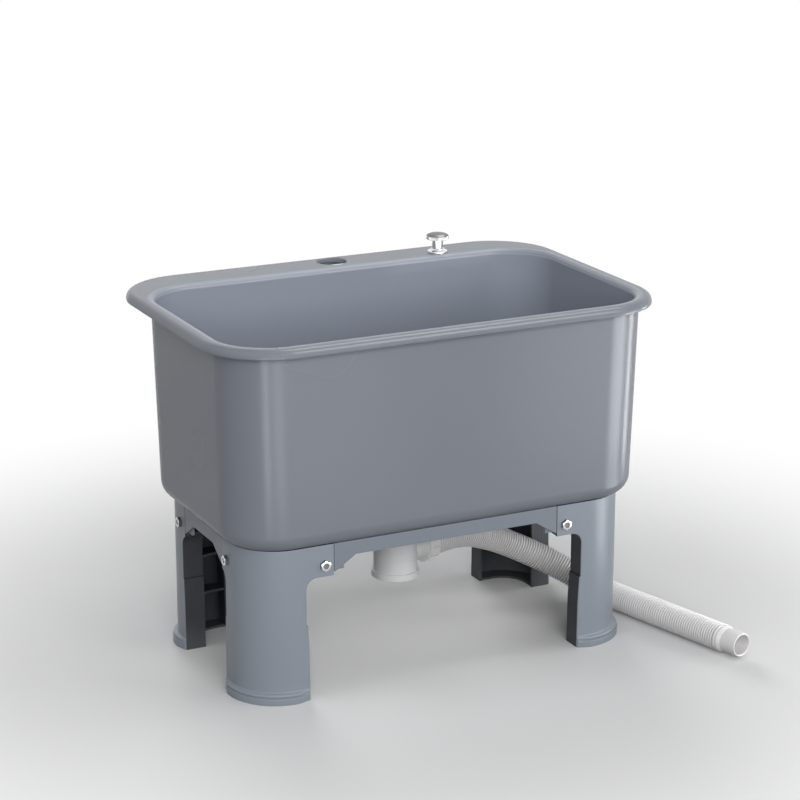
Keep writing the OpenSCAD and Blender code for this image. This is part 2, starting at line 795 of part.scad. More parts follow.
module knob_washer() {
  color(rubber_color) at_knob() translate([0, 0, deck_under - knob_washer_t])
    ring(collar_tube_r + 3, collar_tube_r + slide_play, knob_washer_t);
}

module knob_nut() {
  color(steel_color) at_knob()
    translate([0, 0, deck_under - knob_washer_t - knob_nut_h]) difference() {
      cylinder(r = collar_tube_r + 3.5, h = knob_nut_h, $fn = 6);
      translate([0, 0, -overrun])
        cylinder(r = collar_tube_r + pin_play, h = knob_nut_h + 2 * overrun);
    }
}

module cable_ferrule() {
  color(steel_color) at_knob() translate([0, 0, ferrule_bottom])
    ring(ferrule_r, rod_r + slide_play, ferrule_l);
}

// The cable's sheath: down from the knob, one bend and along under the tub
module control_cable() {
  cable_r = cable_d / 2;
  bend_x = port_run - cable_bend;
  color(rubber_color) towards_knob() {
    translate([port_run, 0, port_z + cable_bend])
      cylinder(r = cable_r, h = ferrule_bottom - port_z - cable_bend);
    translate([bend_x, 0, port_z + cable_bend]) rotate([90, 0, 0])
      rotate([0, 0, -90]) rotate_extrude(angle = 90)
      translate([cable_bend, 0]) circle(r = cable_r, $fn = 32);
    translate([port_end - 8, 0, port_z]) rotate([0, 90, 0])
      cylinder(r = cable_r, h = bend_x - port_end + 8);
  }
}

module cable_gland() {
  color(fitting_color) towards_knob() translate([port_end, 0, port_z])
    rotate([0, 90, 0]) difference() {
      cylinder(r = port_r + 1.5, h = gland_l, $fn = 6);
      translate([0, 0, -overrun])
        cylinder(r = cable_d / 2 + slide_play, h = gland_l + 2 * overrun);
    }
}

module hose_washer() {
  color(rubber_color) along_outlet(outlet_end) ring(outlet_r, outlet_bore / 2, gasket_t);
}

// The nut that holds the hose on the outlet, with grip ribs
module hose_nut() {
  grips = 16;
  nut_r = outlet_r + 3.5;
  color(hose_color) along_outlet(outlet_reach - hose_nut_l) difference() {
    union() {
      cylinder(r = nut_r, h = hose_nut_l);
      for (k = [0 : grips - 1]) rotate([0, 0, 360 * k / grips])
        translate([nut_r - 0.5, -0.8, 1]) cube([1.6, 1.6, hose_nut_l - 3]);
    }
    translate([0, 0, -overrun])
      cylinder(r = outlet_r + slide_play, h = hose_nut_l - hose_nut_lip + overrun);
    cylinder(d = outlet_bore, h = hose_nut_l + overrun);
  }
}

// The ribbed hose: one tube with its bore, two rings to a rib
module drain_hose() {
  ribs = floor(hose_length / rib_pitch);
  pitch = hose_length / ribs;
  crest = hose_d / 2;
  bore = outlet_bore / 2;
  bore_rings = ceil(hose_length / bore_step);
  outside = [
    for (k = [0 : ribs - 1]) each [
      hose_ring(k * pitch, crest),
      hose_ring((k + 0.5) * pitch, crest - rib_depth)],
    hose_ring(hose_length, crest)];
  inside = [for (k = [bore_rings : -1 : 0]) hose_ring(k * hose_length / bore_rings, bore)];
  rings = concat(outside, inside);
  n = hose_sides;
  last = (len(rings) - 1) * n;
  mouth = [for (k = [0 : n - 1])
             each [[last + k, k, last + (k + 1) % n], [last + (k + 1) % n, k, (k + 1) % n]]];
  color(hose_color)
    polyhedron(points = [for (r = rings, p = r) p],
               faces = concat(band_faces(len(rings), n), mouth));
}

// The stepped connector on the hose's end
module hose_connector() {
  last = len(hose_route) - 1;
  run = hose_route[last] - hose_route[last - 1];
  shoulder_l = 3;
  color(hose_color) translate(hose_route[last])
    rotate([0, 90, atan2(run[1], run[0])]) difference() {
      union() {
        cylinder(d = hose_d, h = 2);
        cylinder(d = hose_d - 2, h = cuff_l - shoulder_l);
        translate([0, 0, 3.5]) cylinder(d = hose_d, h = cuff_l - shoulder_l - 3.5);
        translate([0, 0, cuff_l - shoulder_l])
          cylinder(d1 = hose_d, d2 = spigot_d, h = shoulder_l);
        cylinder(d = spigot_d, h = cuff_l + spigot_l);
      }
      translate([0, 0, -overrun])
        cylinder(r = spigot_d / 2 - 2, h = cuff_l + spigot_l + 2 * overrun);
    }
}

basin();
leg_front_left();
leg_front_right();
leg_rear_left();
leg_rear_right();
apron_front();
apron_rear();
apron_left();
apron_right();
frame_bolts();
frame_washers();
frame_nuts();
drain_flange();
drain_gasket_upper();
drain_gasket_lower();
drain_lock_nut();
drain_seal();
drain_body();
lever_pin();
lift_lever();
stopper_cap();
stopper_seal();
stopper_stem();
knob_cap();
knob_stem();
knob_collar();
knob_washer();
knob_nut();
cable_ferrule();
control_cable();
cable_gland();
hose_washer();
hose_nut();
drain_hose();
hose_connector();
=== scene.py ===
"""A free-standing mop sink: moulded tub, four-leg stand, lift-knob drain and ribbed hose."""
import math

import bmesh
import bpy
import numpy as np
from bpy.props import FloatProperty, FloatVectorProperty, IntProperty, PointerProperty
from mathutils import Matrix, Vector


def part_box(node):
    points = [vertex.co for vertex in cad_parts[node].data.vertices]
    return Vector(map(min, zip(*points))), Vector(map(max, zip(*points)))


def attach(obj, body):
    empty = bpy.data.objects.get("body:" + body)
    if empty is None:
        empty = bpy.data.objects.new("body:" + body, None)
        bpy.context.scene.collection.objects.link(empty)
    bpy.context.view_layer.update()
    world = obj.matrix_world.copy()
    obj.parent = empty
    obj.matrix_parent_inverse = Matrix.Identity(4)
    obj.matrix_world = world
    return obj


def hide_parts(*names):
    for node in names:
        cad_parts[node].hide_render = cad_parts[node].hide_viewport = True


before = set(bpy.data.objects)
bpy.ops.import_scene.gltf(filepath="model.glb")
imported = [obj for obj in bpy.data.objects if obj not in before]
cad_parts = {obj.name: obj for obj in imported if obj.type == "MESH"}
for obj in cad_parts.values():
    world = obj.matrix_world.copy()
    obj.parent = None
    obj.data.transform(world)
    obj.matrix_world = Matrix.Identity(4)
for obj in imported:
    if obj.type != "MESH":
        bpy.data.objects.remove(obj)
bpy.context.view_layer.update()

bl_info = {
    "name": "Mop Sink",
    "version": (1, 0, 0),
    "blender": (4, 5, 0),
    "location": "3D View > Sidebar > Mop Sink",
    "description": "Builds a mop sink on its stand, with its drain and hose",
    "category": "Add Mesh",
}

RIM_LOW, RIM_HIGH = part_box("basin")

# The hose's route from the part's source, in metres, from its nut to the connector
HOSE_ROUTE = [
    (0.048, -0.002, 0.092), (0.060, 0.0015, 0.092), (0.072, 0.005, 0.092),
    (0.084, 0.0085, 0.0915), (0.105, 0.0145, 0.0875), (0.126, 0.0185, 0.080),
    (0.147, 0.0195, 0.071), (0.167, 0.016, 0.061), (0.186, 0.0095, 0.051),
    (0.204, -0.0005, 0.041), (0.2195, -0.0135, 0.0315), (0.2325, -0.029, 0.023),
    (0.243, -0.0465, 0.0175), (0.251, -0.065, 0.015), (0.256, -0.085, 0.015),
    (0.264, -0.117, 0.015), (0.272, -0.149, 0.015), (0.280, -0.181, 0.015),
    (0.284, -0.197, 0.015), (0.288, -0.213, 0.015)]
# Steps of its middle line from one point to the next
ROUTE_STEPS = 6

# The finishes made so far, by name
FINISHES = {}

# Where each leg stands: 1 is to the right, and then 1 is to the front
LEGS = {"leg_front_left": (-1, 1), "leg_front_right": (1, 1),
        "leg_rear_left": (-1, -1), "leg_rear_right": (1, -1)}


def length(name, description, default):
    """A size in metres that a user can change."""
    return FloatProperty(name=name, description=description, default=default, unit="LENGTH",
                         precision=4)


def colour(name, description, default):
    """A colour that a user can change, as linear red, green and blue."""
    return FloatVectorProperty(name=name, description=description, default=default,
                               subtype="COLOR", size=3, min=0, max=1)


class TubSizes(bpy.types.PropertyGroup):
    """Sizes of the moulded tub."""

    rim_width: length("Rim width", "Left to right over the rim", RIM_HIGH.x - RIM_LOW.x)
    rim_depth: length("Rim depth", "Front to back over the rim", RIM_HIGH.y - RIM_LOW.y)
    rim_z: length("Rim height", "Top of the rim above the floor", RIM_HIGH.z)
    rim_corner: length("Rim corner", "Radius of the rim's corners in plan", 0.074)
    wall_corner: length("Wall corner", "Radius of the walls' corners in plan", 0.059)
    overhang: length("Rim overhang", "Rim past the front and side walls", 0.0135)
    deck: length("Deck overhang", "Tap deck past the rear wall", 0.049)
    wall: length("Wall", "Thickness of the moulding", 0.005)
    lean: FloatProperty(name="Lean", description="How far a wall leans in for its drop",
                        default=0.021, min=0, max=0.1)
    base_z: length("Base height", "Underside above the floor", 0.163)
    base_radius: length("Base radius", "Outer radius of the bottom edge", 0.018)
    floor_radius: length("Floor radius", "Inner radius of the bottom edge", 0.022)
    lip: length("Lip", "Height of the rim's turned-down lip", 0.0095)
    lip_wall: length("Lip wall", "Thickness of the lip", 0.004)
    roll: length("Rim roll", "Radius of the rim's outer top edge", 0.007)
    mouth: length("Mouth roll", "Radius of the rim's inner top edge", 0.006)
    tap_hole: length("Tap hole", "Diameter of the hole in the deck", 0.032)
    tap_x: length("Tap hole offset", "Tap hole to the right of the middle", 0.002)
    tap_back: length("Tap hole inset", "Tap hole from the rear edge", 0.023)
    knob_hole: length("Knob hole", "Diameter of the knob's hole", 0.0176)
    drain_hole: length("Drain hole", "Diameter of the drain's hole", 0.047)


class StandSizes(bpy.types.PropertyGroup):
    """Sizes of the stand's legs."""

    width: length("Leg width", "Width of a leg from the front", 0.062)
    depth: length("Leg depth", "Depth of a leg from the side", 0.062)
    corner: length("Leg corner", "Radius of a leg's corner", 0.050)
    wall: length("Leg wall", "Thickness of a leg's skin", 0.003)
    flange: length("Flange", "Depth of a leg's return edges", 0.022)
    knee_z: length("Knee height", "Height of the knee above the floor", 0.080)
    foot_proud: length("Foot", "How far the foot stands proud", 0.0055)
    tab_front: length("Front tab", "Length of a tab at the front and rear", 0.030)
    tab_side: length("Side tab", "Length of a tab at the sides", 0.008)
    tab_height: length("Tab height", "Height of the tabs", 0.0335)
    arch: length("Arch", "Radius of the arch under a tab", 0.012)
    ledge: length("Ledge", "Width of the ledge under the tub", 0.014)
    bolt_size: length("Bolt", "Thread diameter of the bolts", 0.006)
    hex_size: length("Hexagon", "Bolt heads over their corners", 0.0115)


class DrainSizes(bpy.types.PropertyGroup):
    """Sizes of the knob, the drain and the hose."""

    knob_width: length("Knob", "Diameter of the knob's cap", 0.025)
    stem_width: length("Stem", "Diameter of the knob's stem", 0.013)
    hose_width: length("Hose", "Outer diameter over the ribs", 0.030)
    hose_bore: length("Hose bore", "Inner diameter of the hose", 0.024)
    rib_pitch: length("Rib pitch", "From one rib to the next", 0.0032)
    rib_depth: length("Rib depth", "Depth of the grooves between ribs", 0.0015)
    spigot: length("Spigot", "Diameter of the connector's spigot", 0.026)
    knurls: IntProperty(name="Knurls", description="Ridges round the knob's cap",
                        default=60, min=12, max=90)


class FinishColours(bpy.types.PropertyGroup):
    """Colours of the finishes."""

    tub: colour("Tub", "The tub's moulded plastic", (0.206, 0.225, 0.261))
    # The tub's inside: the same plastic painted paler, as painted light for the light that
    # falls into the tub
    inner: colour("Tub inside", "The tub's paler inside", (0.292, 0.318, 0.373))
    stand: colour("Legs", "The legs' moulded plastic", (0.262, 0.295, 0.340))
    # The aprons: the legs' plastic painted darker, as painted shade for the shade under the
    # tub's rim
    apron: colour("Aprons", "The aprons' moulded plastic", (0.218, 0.245, 0.283))
    # Near black: painted shade for the shade inside the legs
    inside: colour("Leg insides", "Returns and webs inside the legs", (0.022, 0.025, 0.032))
    hose: colour("Hose", "The hose's plastic", (0.800, 0.790, 0.790))
    fitting: colour("Fittings", "The drain's plastic body and nuts", (0.680, 0.685, 0.690))
    chrome: colour("Chrome", "The knob and the bolts", (0.800, 0.800, 0.810))
    # Dark: painted reflection of a dark ceiling on the knob's top
    crown: colour("Knob crown", "The knob's dull turned top", (0.200, 0.200, 0.200))
    steel: colour("Steel", "The drain's flange and stopper", (0.480, 0.480, 0.490))
    brass: colour("Brass", "The lever and its pin", (0.600, 0.440, 0.180))
    rubber: colour("Rubber", "Gaskets and seals", (0.022, 0.022, 0.024))
    sheath: colour("Sheath", "The control cable", (0.030, 0.030, 0.032))
    floor: colour("Floor", "The pale floor", (0.800, 0.800, 0.800))


class StageSizes(bpy.types.PropertyGroup):
    """Camera and lights."""

    camera: FloatVectorProperty(name="Camera", description="Place of the camera", size=3,
                                default=(-1.0844, -2.2317, 1.0031), subtype="TRANSLATION",
                                unit="LENGTH")
    target: FloatVectorProperty(name="Target", description="Point that the camera looks at",
                                size=3, default=(0.0136, 0.0, 0.2562),
                                subtype="TRANSLATION", unit="LENGTH")
    lens: FloatProperty(name="Lens", description="Focal length in millimetres",
                        default=110.5, min=20, max=300)
    floor_size: length("Floor size", "Side of the floor", 12.0)


class MopSinkSettings(bpy.types.PropertyGroup):
    """All that the sidebar lists."""

    tub: PointerProperty(type=TubSizes, name="Tub", description="The tub's sizes")
    stand: PointerProperty(type=StandSizes, name="Stand", description="The stand's sizes")
    drain: PointerProperty(type=DrainSizes, name="Drain", description="The drain's sizes")
    colours: PointerProperty(type=FinishColours, name="Colours", description="Finishes")
    stage: PointerProperty(type=StageSizes, name="Stage", description="Camera and lights")


# Shader nodes -----------------------------------------------------------------

class Signal:
    """One output of a shader node, which Python's own sums can be written with."""

    def __init__(self, nodes, socket):
        self.nodes = nodes
        self.socket = socket

    def _maths(self, operation, first, second):
        return self.nodes.node("ShaderNodeMath", {"operation": operation},
                               {0: first, 1: second})

    def __add__(self, other):
        return self._maths("ADD", self, other)

    __radd__ = __add__

    def __sub__(self, other):
        return self._maths("SUBTRACT", self, other)

    def __rsub__(self, other):
        return self._maths("SUBTRACT", other, self)

    def __mul__(self, other):
        return self._maths("MULTIPLY", self, other)

    __rmul__ = __mul__

    def __or__(self, other):
        return self._maths("MAXIMUM", self, other)

    __ror__ = __or__

    def band(self, low, high):
        """0 below low, 1 above high, and smooth between them."""
        return self.nodes.node("ShaderNodeMapRange", {"interpolation_type": "SMOOTHSTEP"},
                               {"Value": self, "From Min": low, "From Max": high})


class Nodes:
    """A node tree that nodes are added to."""

    def __init__(self, tree):
        self.tree = tree

    def node(self, kind, settings=None, inputs=None, output=0):
        """A new node: its settings, then what its inputs hold; gives one output."""
        made = self.tree.nodes.new(kind)
        for key, value in (settings or {}).items():
            setattr(made, key, value)
        for key, value in (inputs or {}).items():
            if isinstance(value, Signal):
                self.tree.links.new(value.socket, made.inputs[key])
            else:
                made.inputs[key].default_value = value
        return Signal(self, made.outputs[output])

    def rays(self):
        """1 where the camera looks, and 1 where a gloss or clear glass looks."""
        looks = [self.node("ShaderNodeLightPath", None, None, ray) for ray in
                 ("Is Camera Ray", "Is Glossy Ray", "Is Transmission Ray")]
        return looks[0], looks[1] | looks[2]


class Finish(Nodes):
    """A material with one Principled shader and the nodes that vary it."""

    def __init__(self, name, base, roughness, metallic=0.0, **constants):
        self.material = bpy.data.materials.new(name)
        self.material.use_nodes = True
        super().__init__(self.material.node_tree)
        self.shader = next(n for n in self.tree.nodes if n.type == "BSDF_PRINCIPLED")
        self.base = tuple(base)
        self.put("Base Color", (*base, 1))
        self.put("Roughness", roughness)
        self.put("Metallic", metallic)
        for socket, value in constants.items():
            self.put(socket.replace("_", " "), value)
        self.place = self.node("ShaderNodeTexCoord", output="Object")

    def put(self, socket, value):
        """Sets one of the shader's inputs to a number or links a signal to it."""
        if isinstance(value, Signal):
            self.tree.links.new(value.socket, self.shader.inputs[socket])
        else:
            self.shader.inputs[socket].default_value = value

    def noise(self, scale, detail=2.0, stretch=None):
        """Cloudy noise from 0 to 1, about 1 / scale metres across.

        It is drawn out along the axes where stretch is small.
        """
        place = self.place
        if stretch:
            place = self.node("ShaderNodeVectorMath", {"operation": "MULTIPLY"},
                              {0: place, 1: stretch})
        return self.node("ShaderNodeTexNoise", None,
                         {"Vector": place, "Scale": scale, "Detail": detail})

    def mix(self, share, first, second):
        """A colour between two, by a share from 0 to 1."""
        return self.node("ShaderNodeMix", {"data_type": "RGBA"},
                         {0: share, 6: first, 7: second}, 2)

    def shade(self, factor):
        """The base colour, darker or lighter."""
        return (*(min(1.0, part * factor) for part in self.base), 1)

    def bump(self, height, distance, strength):
        """Raises the surface by a height from 0 to 1 of a distance in metres."""
        self.put("Normal", self.node("ShaderNodeBump", None, {
            "Strength": strength, "Distance": distance, "Height": height}))

    def axis(self, name):
        """X, Y or Z of the place on the piece."""
        return self.node("ShaderNodeSeparateXYZ", None, {0: self.place}, name)


# Dust inside the legs, grime on the hose, and how bright the painted shade on the sides and
# hollows of bolts and nuts is
DUST_COLOUR = (0.20, 0.20, 0.20, 1)
GRIME_COLOUR = (0.45, 0.42, 0.38, 1)
BOLT_SHADE = 0.35
# The painted highlight along the mouth's rolled edge: the share of the roll's radius at its
# middle, how far it fades to both sides, how far it fades in below the rim, its strength and
# how pale it is painted
EDGE_CREST = 0.7
EDGE_FADE = (0.0015, 0.006)
EDGE_DROP = (0.006, 0.002)
MOUTH_HIGHLIGHT_STRENGTH = 0.8
MOUTH_HIGHLIGHT_LIGHTNESS = 1.7


def painted_mouth_highlight(finish, tub):
    """1 on the rolled edge round the tub's mouth, where a highlight is painted, and 0 away
    from it.
    """
    inset = tub.wall - tub.mouth * EDGE_CREST
    side, corner = tub.overhang + inset, tub.wall_corner - inset
    half_x = tub.rim_width / 2 - side
    front, rear = side - tub.rim_depth / 2, tub.rim_depth / 2 - tub.deck - inset
    steps = (("SUBTRACT", (0, (front + rear) / 2, 0)), ("ABSOLUTE", (0, 0, 0)),
             ("SUBTRACT", (half_x - corner, (rear - front) / 2 - corner, 1)),
             ("MAXIMUM", (0, 0, 0)))
    place = finish.place
    for operation, value in steps:
        place = finish.node("ShaderNodeVectorMath", {"operation": operation},
                            {0: place, 1: value})
    away = finish.node("ShaderNodeVectorMath", {"operation": "LENGTH"}, {0: place},
                       "Value") - corner
    near = 1.0 - (away | away * -1.0).band(*EDGE_FADE)
    return near * finish.axis("Z").band(tub.rim_z - EDGE_DROP[0], tub.rim_z - EDGE_DROP[1])


def moulded_plastic(name, base, roughness, tub=None):
    """Satin moulded plastic with slow shifts of tone and a soft waviness.

    A highlight is painted on the rolled edge round a tub's mouth, paler than the rest.
    """
    finish = Finish(name, base, roughness, IOR=1.46, Specular_IOR_Level=0.32)
    cloud = finish.noise(5.0)
    tone = finish.mix(cloud, finish.shade(0.98), finish.shade(1.03))
    if tub:
        # Painted highlight: the mouth's rolled edge is made paler, standing in for light on it
        tone = finish.mix(painted_mouth_highlight(finish, tub) * MOUTH_HIGHLIGHT_STRENGTH, tone,
                          finish.shade(MOUTH_HIGHLIGHT_LIGHTNESS))
    finish.put("Base Color", tone)
    finish.put("Roughness", roughness + (cloud - 0.5) * 0.04)
    finish.bump(finish.noise(42.0, 1.0), 0.00002, 0.5)
    return finish.material


def painted_shade_leg_inside(name, base):
    """The dull inner faces of the legs, painted near black for the shade in them, with marks
    drawn up by the mould and low dust.
    """
    finish = Finish(name, base, 0.55, IOR=1.46)
    mottle = finish.noise(60.0, 4.0)
    drawn = finish.noise(60.0, 3.0, (8.0, 8.0, 1.0))
    dust = (1.0 - finish.axis("Z").band(0.0, 0.04)) * mottle
    tone = finish.mix(drawn, finish.shade(0.8), finish.shade(1.25))
    finish.put("Base Color", finish.mix(dust * 0.30, tone, DUST_COLOUR))
    finish.put("Roughness", 0.50 + mottle * 0.15)
    finish.bump(finish.noise(1500.0), 0.00008, 0.6)
    return finish.material


def hose_plastic(name, base):
    """Off-white flexible plastic, with painted shade darkening the grooves and the bore, which
    are duller too.
    """
    finish = Finish(name, base, 0.34, IOR=1.50)
    groove = finish.node("ShaderNodeAttribute", {"attribute_name": "groove"}, None, "Fac")
    mottle = finish.noise(90.0, 3.0)
    grime = finish.noise(320.0, 4.0).band(0.45, 0.75)
    tone = finish.mix(mottle, finish.shade(0.97), finish.shade(1.02))
    soiled = finish.mix(grime * 0.05, tone, GRIME_COLOUR)
    # Painted shade: the grooves, and the bore, are darkened for the shade in them
    finish.put("Base Color", finish.mix(groove * 0.80, soiled, finish.shade(0.50)))
    finish.put("Roughness", 0.30 + groove * 0.25 + mottle * 0.06)
    finish.bump(finish.noise(1900.0), 0.00003, 0.4)
    return finish.material


def polished_chrome(name, base):
    """Bright plate with hair-fine scratches and faint smears."""
    finish = Finish(name, base, 0.08, 1.0)
    smear = finish.noise(110.0, 3.0)
    hair = finish.noise(220.0, stretch=(1.0, 9.0, 5.0)).band(0.55, 0.72)
    finish.put("Base Color", finish.mix(smear, finish.shade(0.95), finish.shade(1.05)))
    finish.put("Roughness", 0.06 + smear * 0.07 + hair * 0.06)
    finish.bump(hair, 0.000006, 0.5)
    return finish.material


def plated_bolt(name, base):
    """Bright-zinc bolt steel, a little cloudy."""
    finish = Finish(name, base, 0.22, 1.0)
    cloud = finish.noise(260.0, 3.0)
    finish.put("Base Color", finish.mix(cloud, finish.shade(0.84), finish.shade(1.04)))
    finish.put("Roughness", 0.16 + cloud * 0.14)
    finish.bump(finish.noise(900.0, 3.0), 0.00002, 0.5)
    return finish.material


def turning_marks(finish, node, fineness):
    """Fine rings round the middle of a node, as a lathe leaves them."""
    middle = (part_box(node)[0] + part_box(node)[1]) / 2
    around = finish.node("ShaderNodeVectorMath", {"operation": "SUBTRACT"},
                         {0: finish.place, 1: (middle.x, middle.y, 0)})
    flat = finish.node("ShaderNodeVectorMath", {"operation": "MULTIPLY"},
                       {0: around, 1: (1, 1, 0)})
    radius = finish.node("ShaderNodeVectorMath", {"operation": "LENGTH"}, {0: flat}, "Value")
    return finish.node("ShaderNodeTexNoise", {"noise_dimensions": "1D"},
                       {"W": radius * fineness, "Scale": 1.0, "Detail": 3.0})


def crown_painted_reflection(name, base):
    """The knob's top: turned metal painted darker than the plate round it, for the dark
    reflection it shows.
    """
    finish = Finish(name, base, 0.38, 1.0)
    line = turning_marks(finish, "knob_cap", 3600.0)
    cloud = finish.noise(260.0, 3.0)
    finish.put("Base Color", finish.mix(line, finish.shade(0.78), finish.shade(1.16)))
    finish.put("Roughness", 0.32 + cloud * 0.14)
    finish.bump(line, 0.00002, 0.6)
    return finish.material


def turned_steel(name, base):
    """Satin steel with turning marks round the drain."""
    finish = Finish(name, base, 0.38, 1.0)
    line = turning_marks(finish, "drain_flange", 2600.0)
    cloud = finish.noise(70.0, 3.0)
    finish.put("Base Color", finish.mix(line, finish.shade(0.86), finish.shade(1.06)))
    finish.put("Roughness", 0.30 + line * 0.10 + cloud * 0.10)
    finish.bump(line, 0.00001, 0.6)
    return finish.material


def turned_brass(name, base):
    """Plain turned brass, dulled by water."""
    finish = Finish(name, base, 0.32, 1.0)
    cloud = finish.noise(240.0, 4.0)
    finish.put("Base Color", finish.mix(cloud, finish.shade(0.70), finish.shade(1.08)))
    finish.put("Roughness", 0.24 + cloud * 0.22)
    finish.bump(finish.noise(1400.0), 0.00001, 0.5)
    return finish.material


def fitting_plastic(name, base):
    """Off-white rigid plastic of the drain's fittings."""
    finish = Finish(name, base, 0.42, IOR=1.49)
    mottle = finish.noise(120.0, 3.0)
    flow = finish.noise(30.0, 3.0, (1.0, 1.0, 5.0))
    finish.put("Base Color", finish.mix(flow, finish.shade(0.95), finish.shade(1.03)))
    finish.put("Roughness", 0.36 + mottle * 0.14)
    finish.bump(finish.noise(1800.0), 0.00004, 0.5)
    return finish.material


def black_rubber(name, base):
    """Matt rubber with a bloom."""
    finish = Finish(name, base, 0.75)
    bloom = finish.noise(180.0, 4.0)
    finish.put("Base Color", finish.mix(bloom, finish.shade(0.8), finish.shade(1.7)))
    finish.put("Roughness", 0.66 + bloom * 0.2)
    finish.bump(finish.noise(2600.0), 0.00005, 0.7)
    return finish.material


def cable_sheath(name, base):
    """Extruded black sheath with fine draw lines."""
    finish = Finish(name, base, 0.45)
    line = finish.noise(420.0, stretch=(1.0, 1.0, 0.08))
    cloud = finish.noise(50.0, 3.0)
    finish.put("Base Color", finish.mix(cloud, finish.shade(0.8), finish.shade(1.5)))
    finish.put("Roughness", 0.38 + cloud * 0.16)
    finish.bump(line, 0.00003, 0.5)
    return finish.material


def make_finishes(settings):
    """Every finish of the sink, by name."""
    colours, tub = settings.colours, settings.tub
    return {
        "tub": moulded_plastic("tub_plastic", colours.tub, 0.27, tub),
        # Painted light: the inside is a paler copy of the tub plastic
        "inner": moulded_plastic("tub_inside_painted_light", colours.inner, 0.27, tub),
        "stand": moulded_plastic("stand_plastic", colours.stand, 0.31),
        # Painted shade: the aprons are a darker copy of the stand plastic
        "apron": moulded_plastic("apron_plastic_painted_shade", colours.apron, 0.31),
        "inside": painted_shade_leg_inside("painted_shade_leg_inside", colours.inside),
        "hose": hose_plastic("hose_plastic", colours.hose),
        "fitting": fitting_plastic("fitting_plastic", colours.fitting),
        "chrome": polished_chrome("polished_chrome", colours.chrome),
        "bolt": plated_bolt("plated_bolt", colours.chrome),
        # Painted shade: a darker copy of the bolt steel for the shaded sides and hollows
        "bolt_shade": plated_bolt("bolt_painted_shade", [part * BOLT_SHADE for part in colours.chrome]),
        "crown": crown_painted_reflection("crown_painted_reflection", colours.crown),
        "steel": turned_steel("turned_steel", colours.steel),
        "brass": turned_brass("turned_brass", colours.brass),
        "rubber": black_rubber("black_rubber", colours.rubber),
        "sheath": cable_sheath("cable_sheath", colours.sheath),
    }


def finish_named(name):
    """A finish, made with the others the first time that one is asked for."""
    if not FINISHES:
        FINISHES.update(make_finishes(bpy.context.scene.mop_sink))
    return FINISHES[name]


# Meshes -----------------------------------------------------------------------

class Shell:
    """Points and faces of one closed shape, in metres."""

    def __init__(self):
        self.points = []
        self.faces = []
        self.slots = []

    def face(self, corners, slot=0):
        """Adds one face."""
        self.faces.append(tuple(corners))
        self.slots.append(slot)

    def rings(self, rings, loop=False, slots=None, rows_of=None):
        """Joins rings of as many points each, and closes their two ends.

        loop joins the last ring to the first instead. slots gives each column of faces
        its finish, and rows_of gives one to each row.
        """
        first, count = len(self.points), len(rings[0])
        for ring in rings:
            self.points.extend(tuple(float(part) for part in point) for point in ring)
        rows = len(rings)
        for row in range(rows if loop else rows - 1):
            here, there = first + row * count, first + (row + 1) % rows * count
            for k in range(count):
                after = (k + 1) % count
                slot = slots[k] if slots else rows_of[row] if rows_of else 0
                self.face((here + k, here + after, there + after, there + k), slot)
        if not loop:
            slot = max(slots or rows_of or [0])
            self.face(range(first + count - 1, first - 1, -1), slot)
            self.face(range(first + (rows - 1) * count, first + rows * count), slot)
        return self

    def box(self, low, high, slot):
        """Adds a plain block, as a part of a larger moulding."""
        (x0, y0, z0), (x1, y1, z1) = low, high
        flat = [(x0, y0), (x1, y0), (x1, y1), (x0, y1)]
        return self.rings([[(x, y, z) for x, y in flat] for z in (z0, z1)],
                          slots=[slot] * 4)

    def mesh(self, name):
        """The mesh, with its faces turned outwards."""
        made = bpy.data.meshes.new(name)
        made.from_pydata(self.points, [], self.faces)
        made.polygons.foreach_set("material_index", self.slots)
        tidy = bmesh.new()
        tidy.from_mesh(made)
        bmesh.ops.recalc_face_normals(tidy, faces=tidy.faces)
        tidy.to_mesh(made)
        tidy.free()
        return made


def linked(name, mesh):
    """A new object in the scene."""
    piece = bpy.data.objects.new(name, mesh)
    bpy.context.scene.collection.objects.link(piece)
    return piece


def lay_finishes(mesh, finishes):
    """Gives a mesh its finishes and keeps which of them each face has."""
    kept = [face.material_index for face in mesh.polygons]
    mesh.materials.clear()
    for finish in finishes:
        mesh.materials.append(finish_named(finish))
    mesh.polygons.foreach_set("material_index", kept)


def combined(name, first, others, operation):
    """A mesh joined with, or cut by, the shapes of other shells."""
    body = linked("making", first)
    tools = []
    for shell in others:
        tool = linked("tool", shell.mesh("tool"))
        for material in first.materials:
            tool.data.materials.append(material)
        tools.append(tool)
        change = body.modifiers.new("join", "BOOLEAN")
        change.operation = operation
        change.solver = "EXACT"
        change.object = tool
    bpy.context.view_layer.update()
    graph = bpy.context.evaluated_depsgraph_get()
    made = bpy.data.meshes.new_from_object(body.evaluated_get(graph))
    made.name = name
    for thing in (body, *tools):
        bpy.data.objects.remove(thing)
    return made


BEVEL_STEPS = 2


def show_smooth(piece, angle, bevel=0.0):
    """Smooth shading with crisp edges above an angle, which a small bevel may round."""
    mesh = piece.data
    mesh.polygons.foreach_set("use_smooth", [True] * len(mesh.polygons))
    mesh.set_sharp_from_angle(angle=math.radians(angle))
    if bevel:
        rounding = piece.modifiers.new("rounding", "BEVEL")
        rounding.width = bevel
        rounding.segments = BEVEL_STEPS
        rounding.limit_method = "ANGLE"
        rounding.angle_limit = math.radians(angle)
        rounding.harden_normals = False
    even = piece.modifiers.new("even", "WEIGHTED_NORMAL")
    even.keep_sharp = not bevel


def add_piece(name, mesh, finishes, slot, nodes=(), body="root", **smooth):
    """Puts a piece in the scene on its body, with its finishes and what it stands for."""
    piece = linked(name, mesh)
    lay_finishes(mesh, finishes)
    show_smooth(piece, **smooth)
    if nodes:
        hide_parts(*nodes)
    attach(piece, body)
    return piece


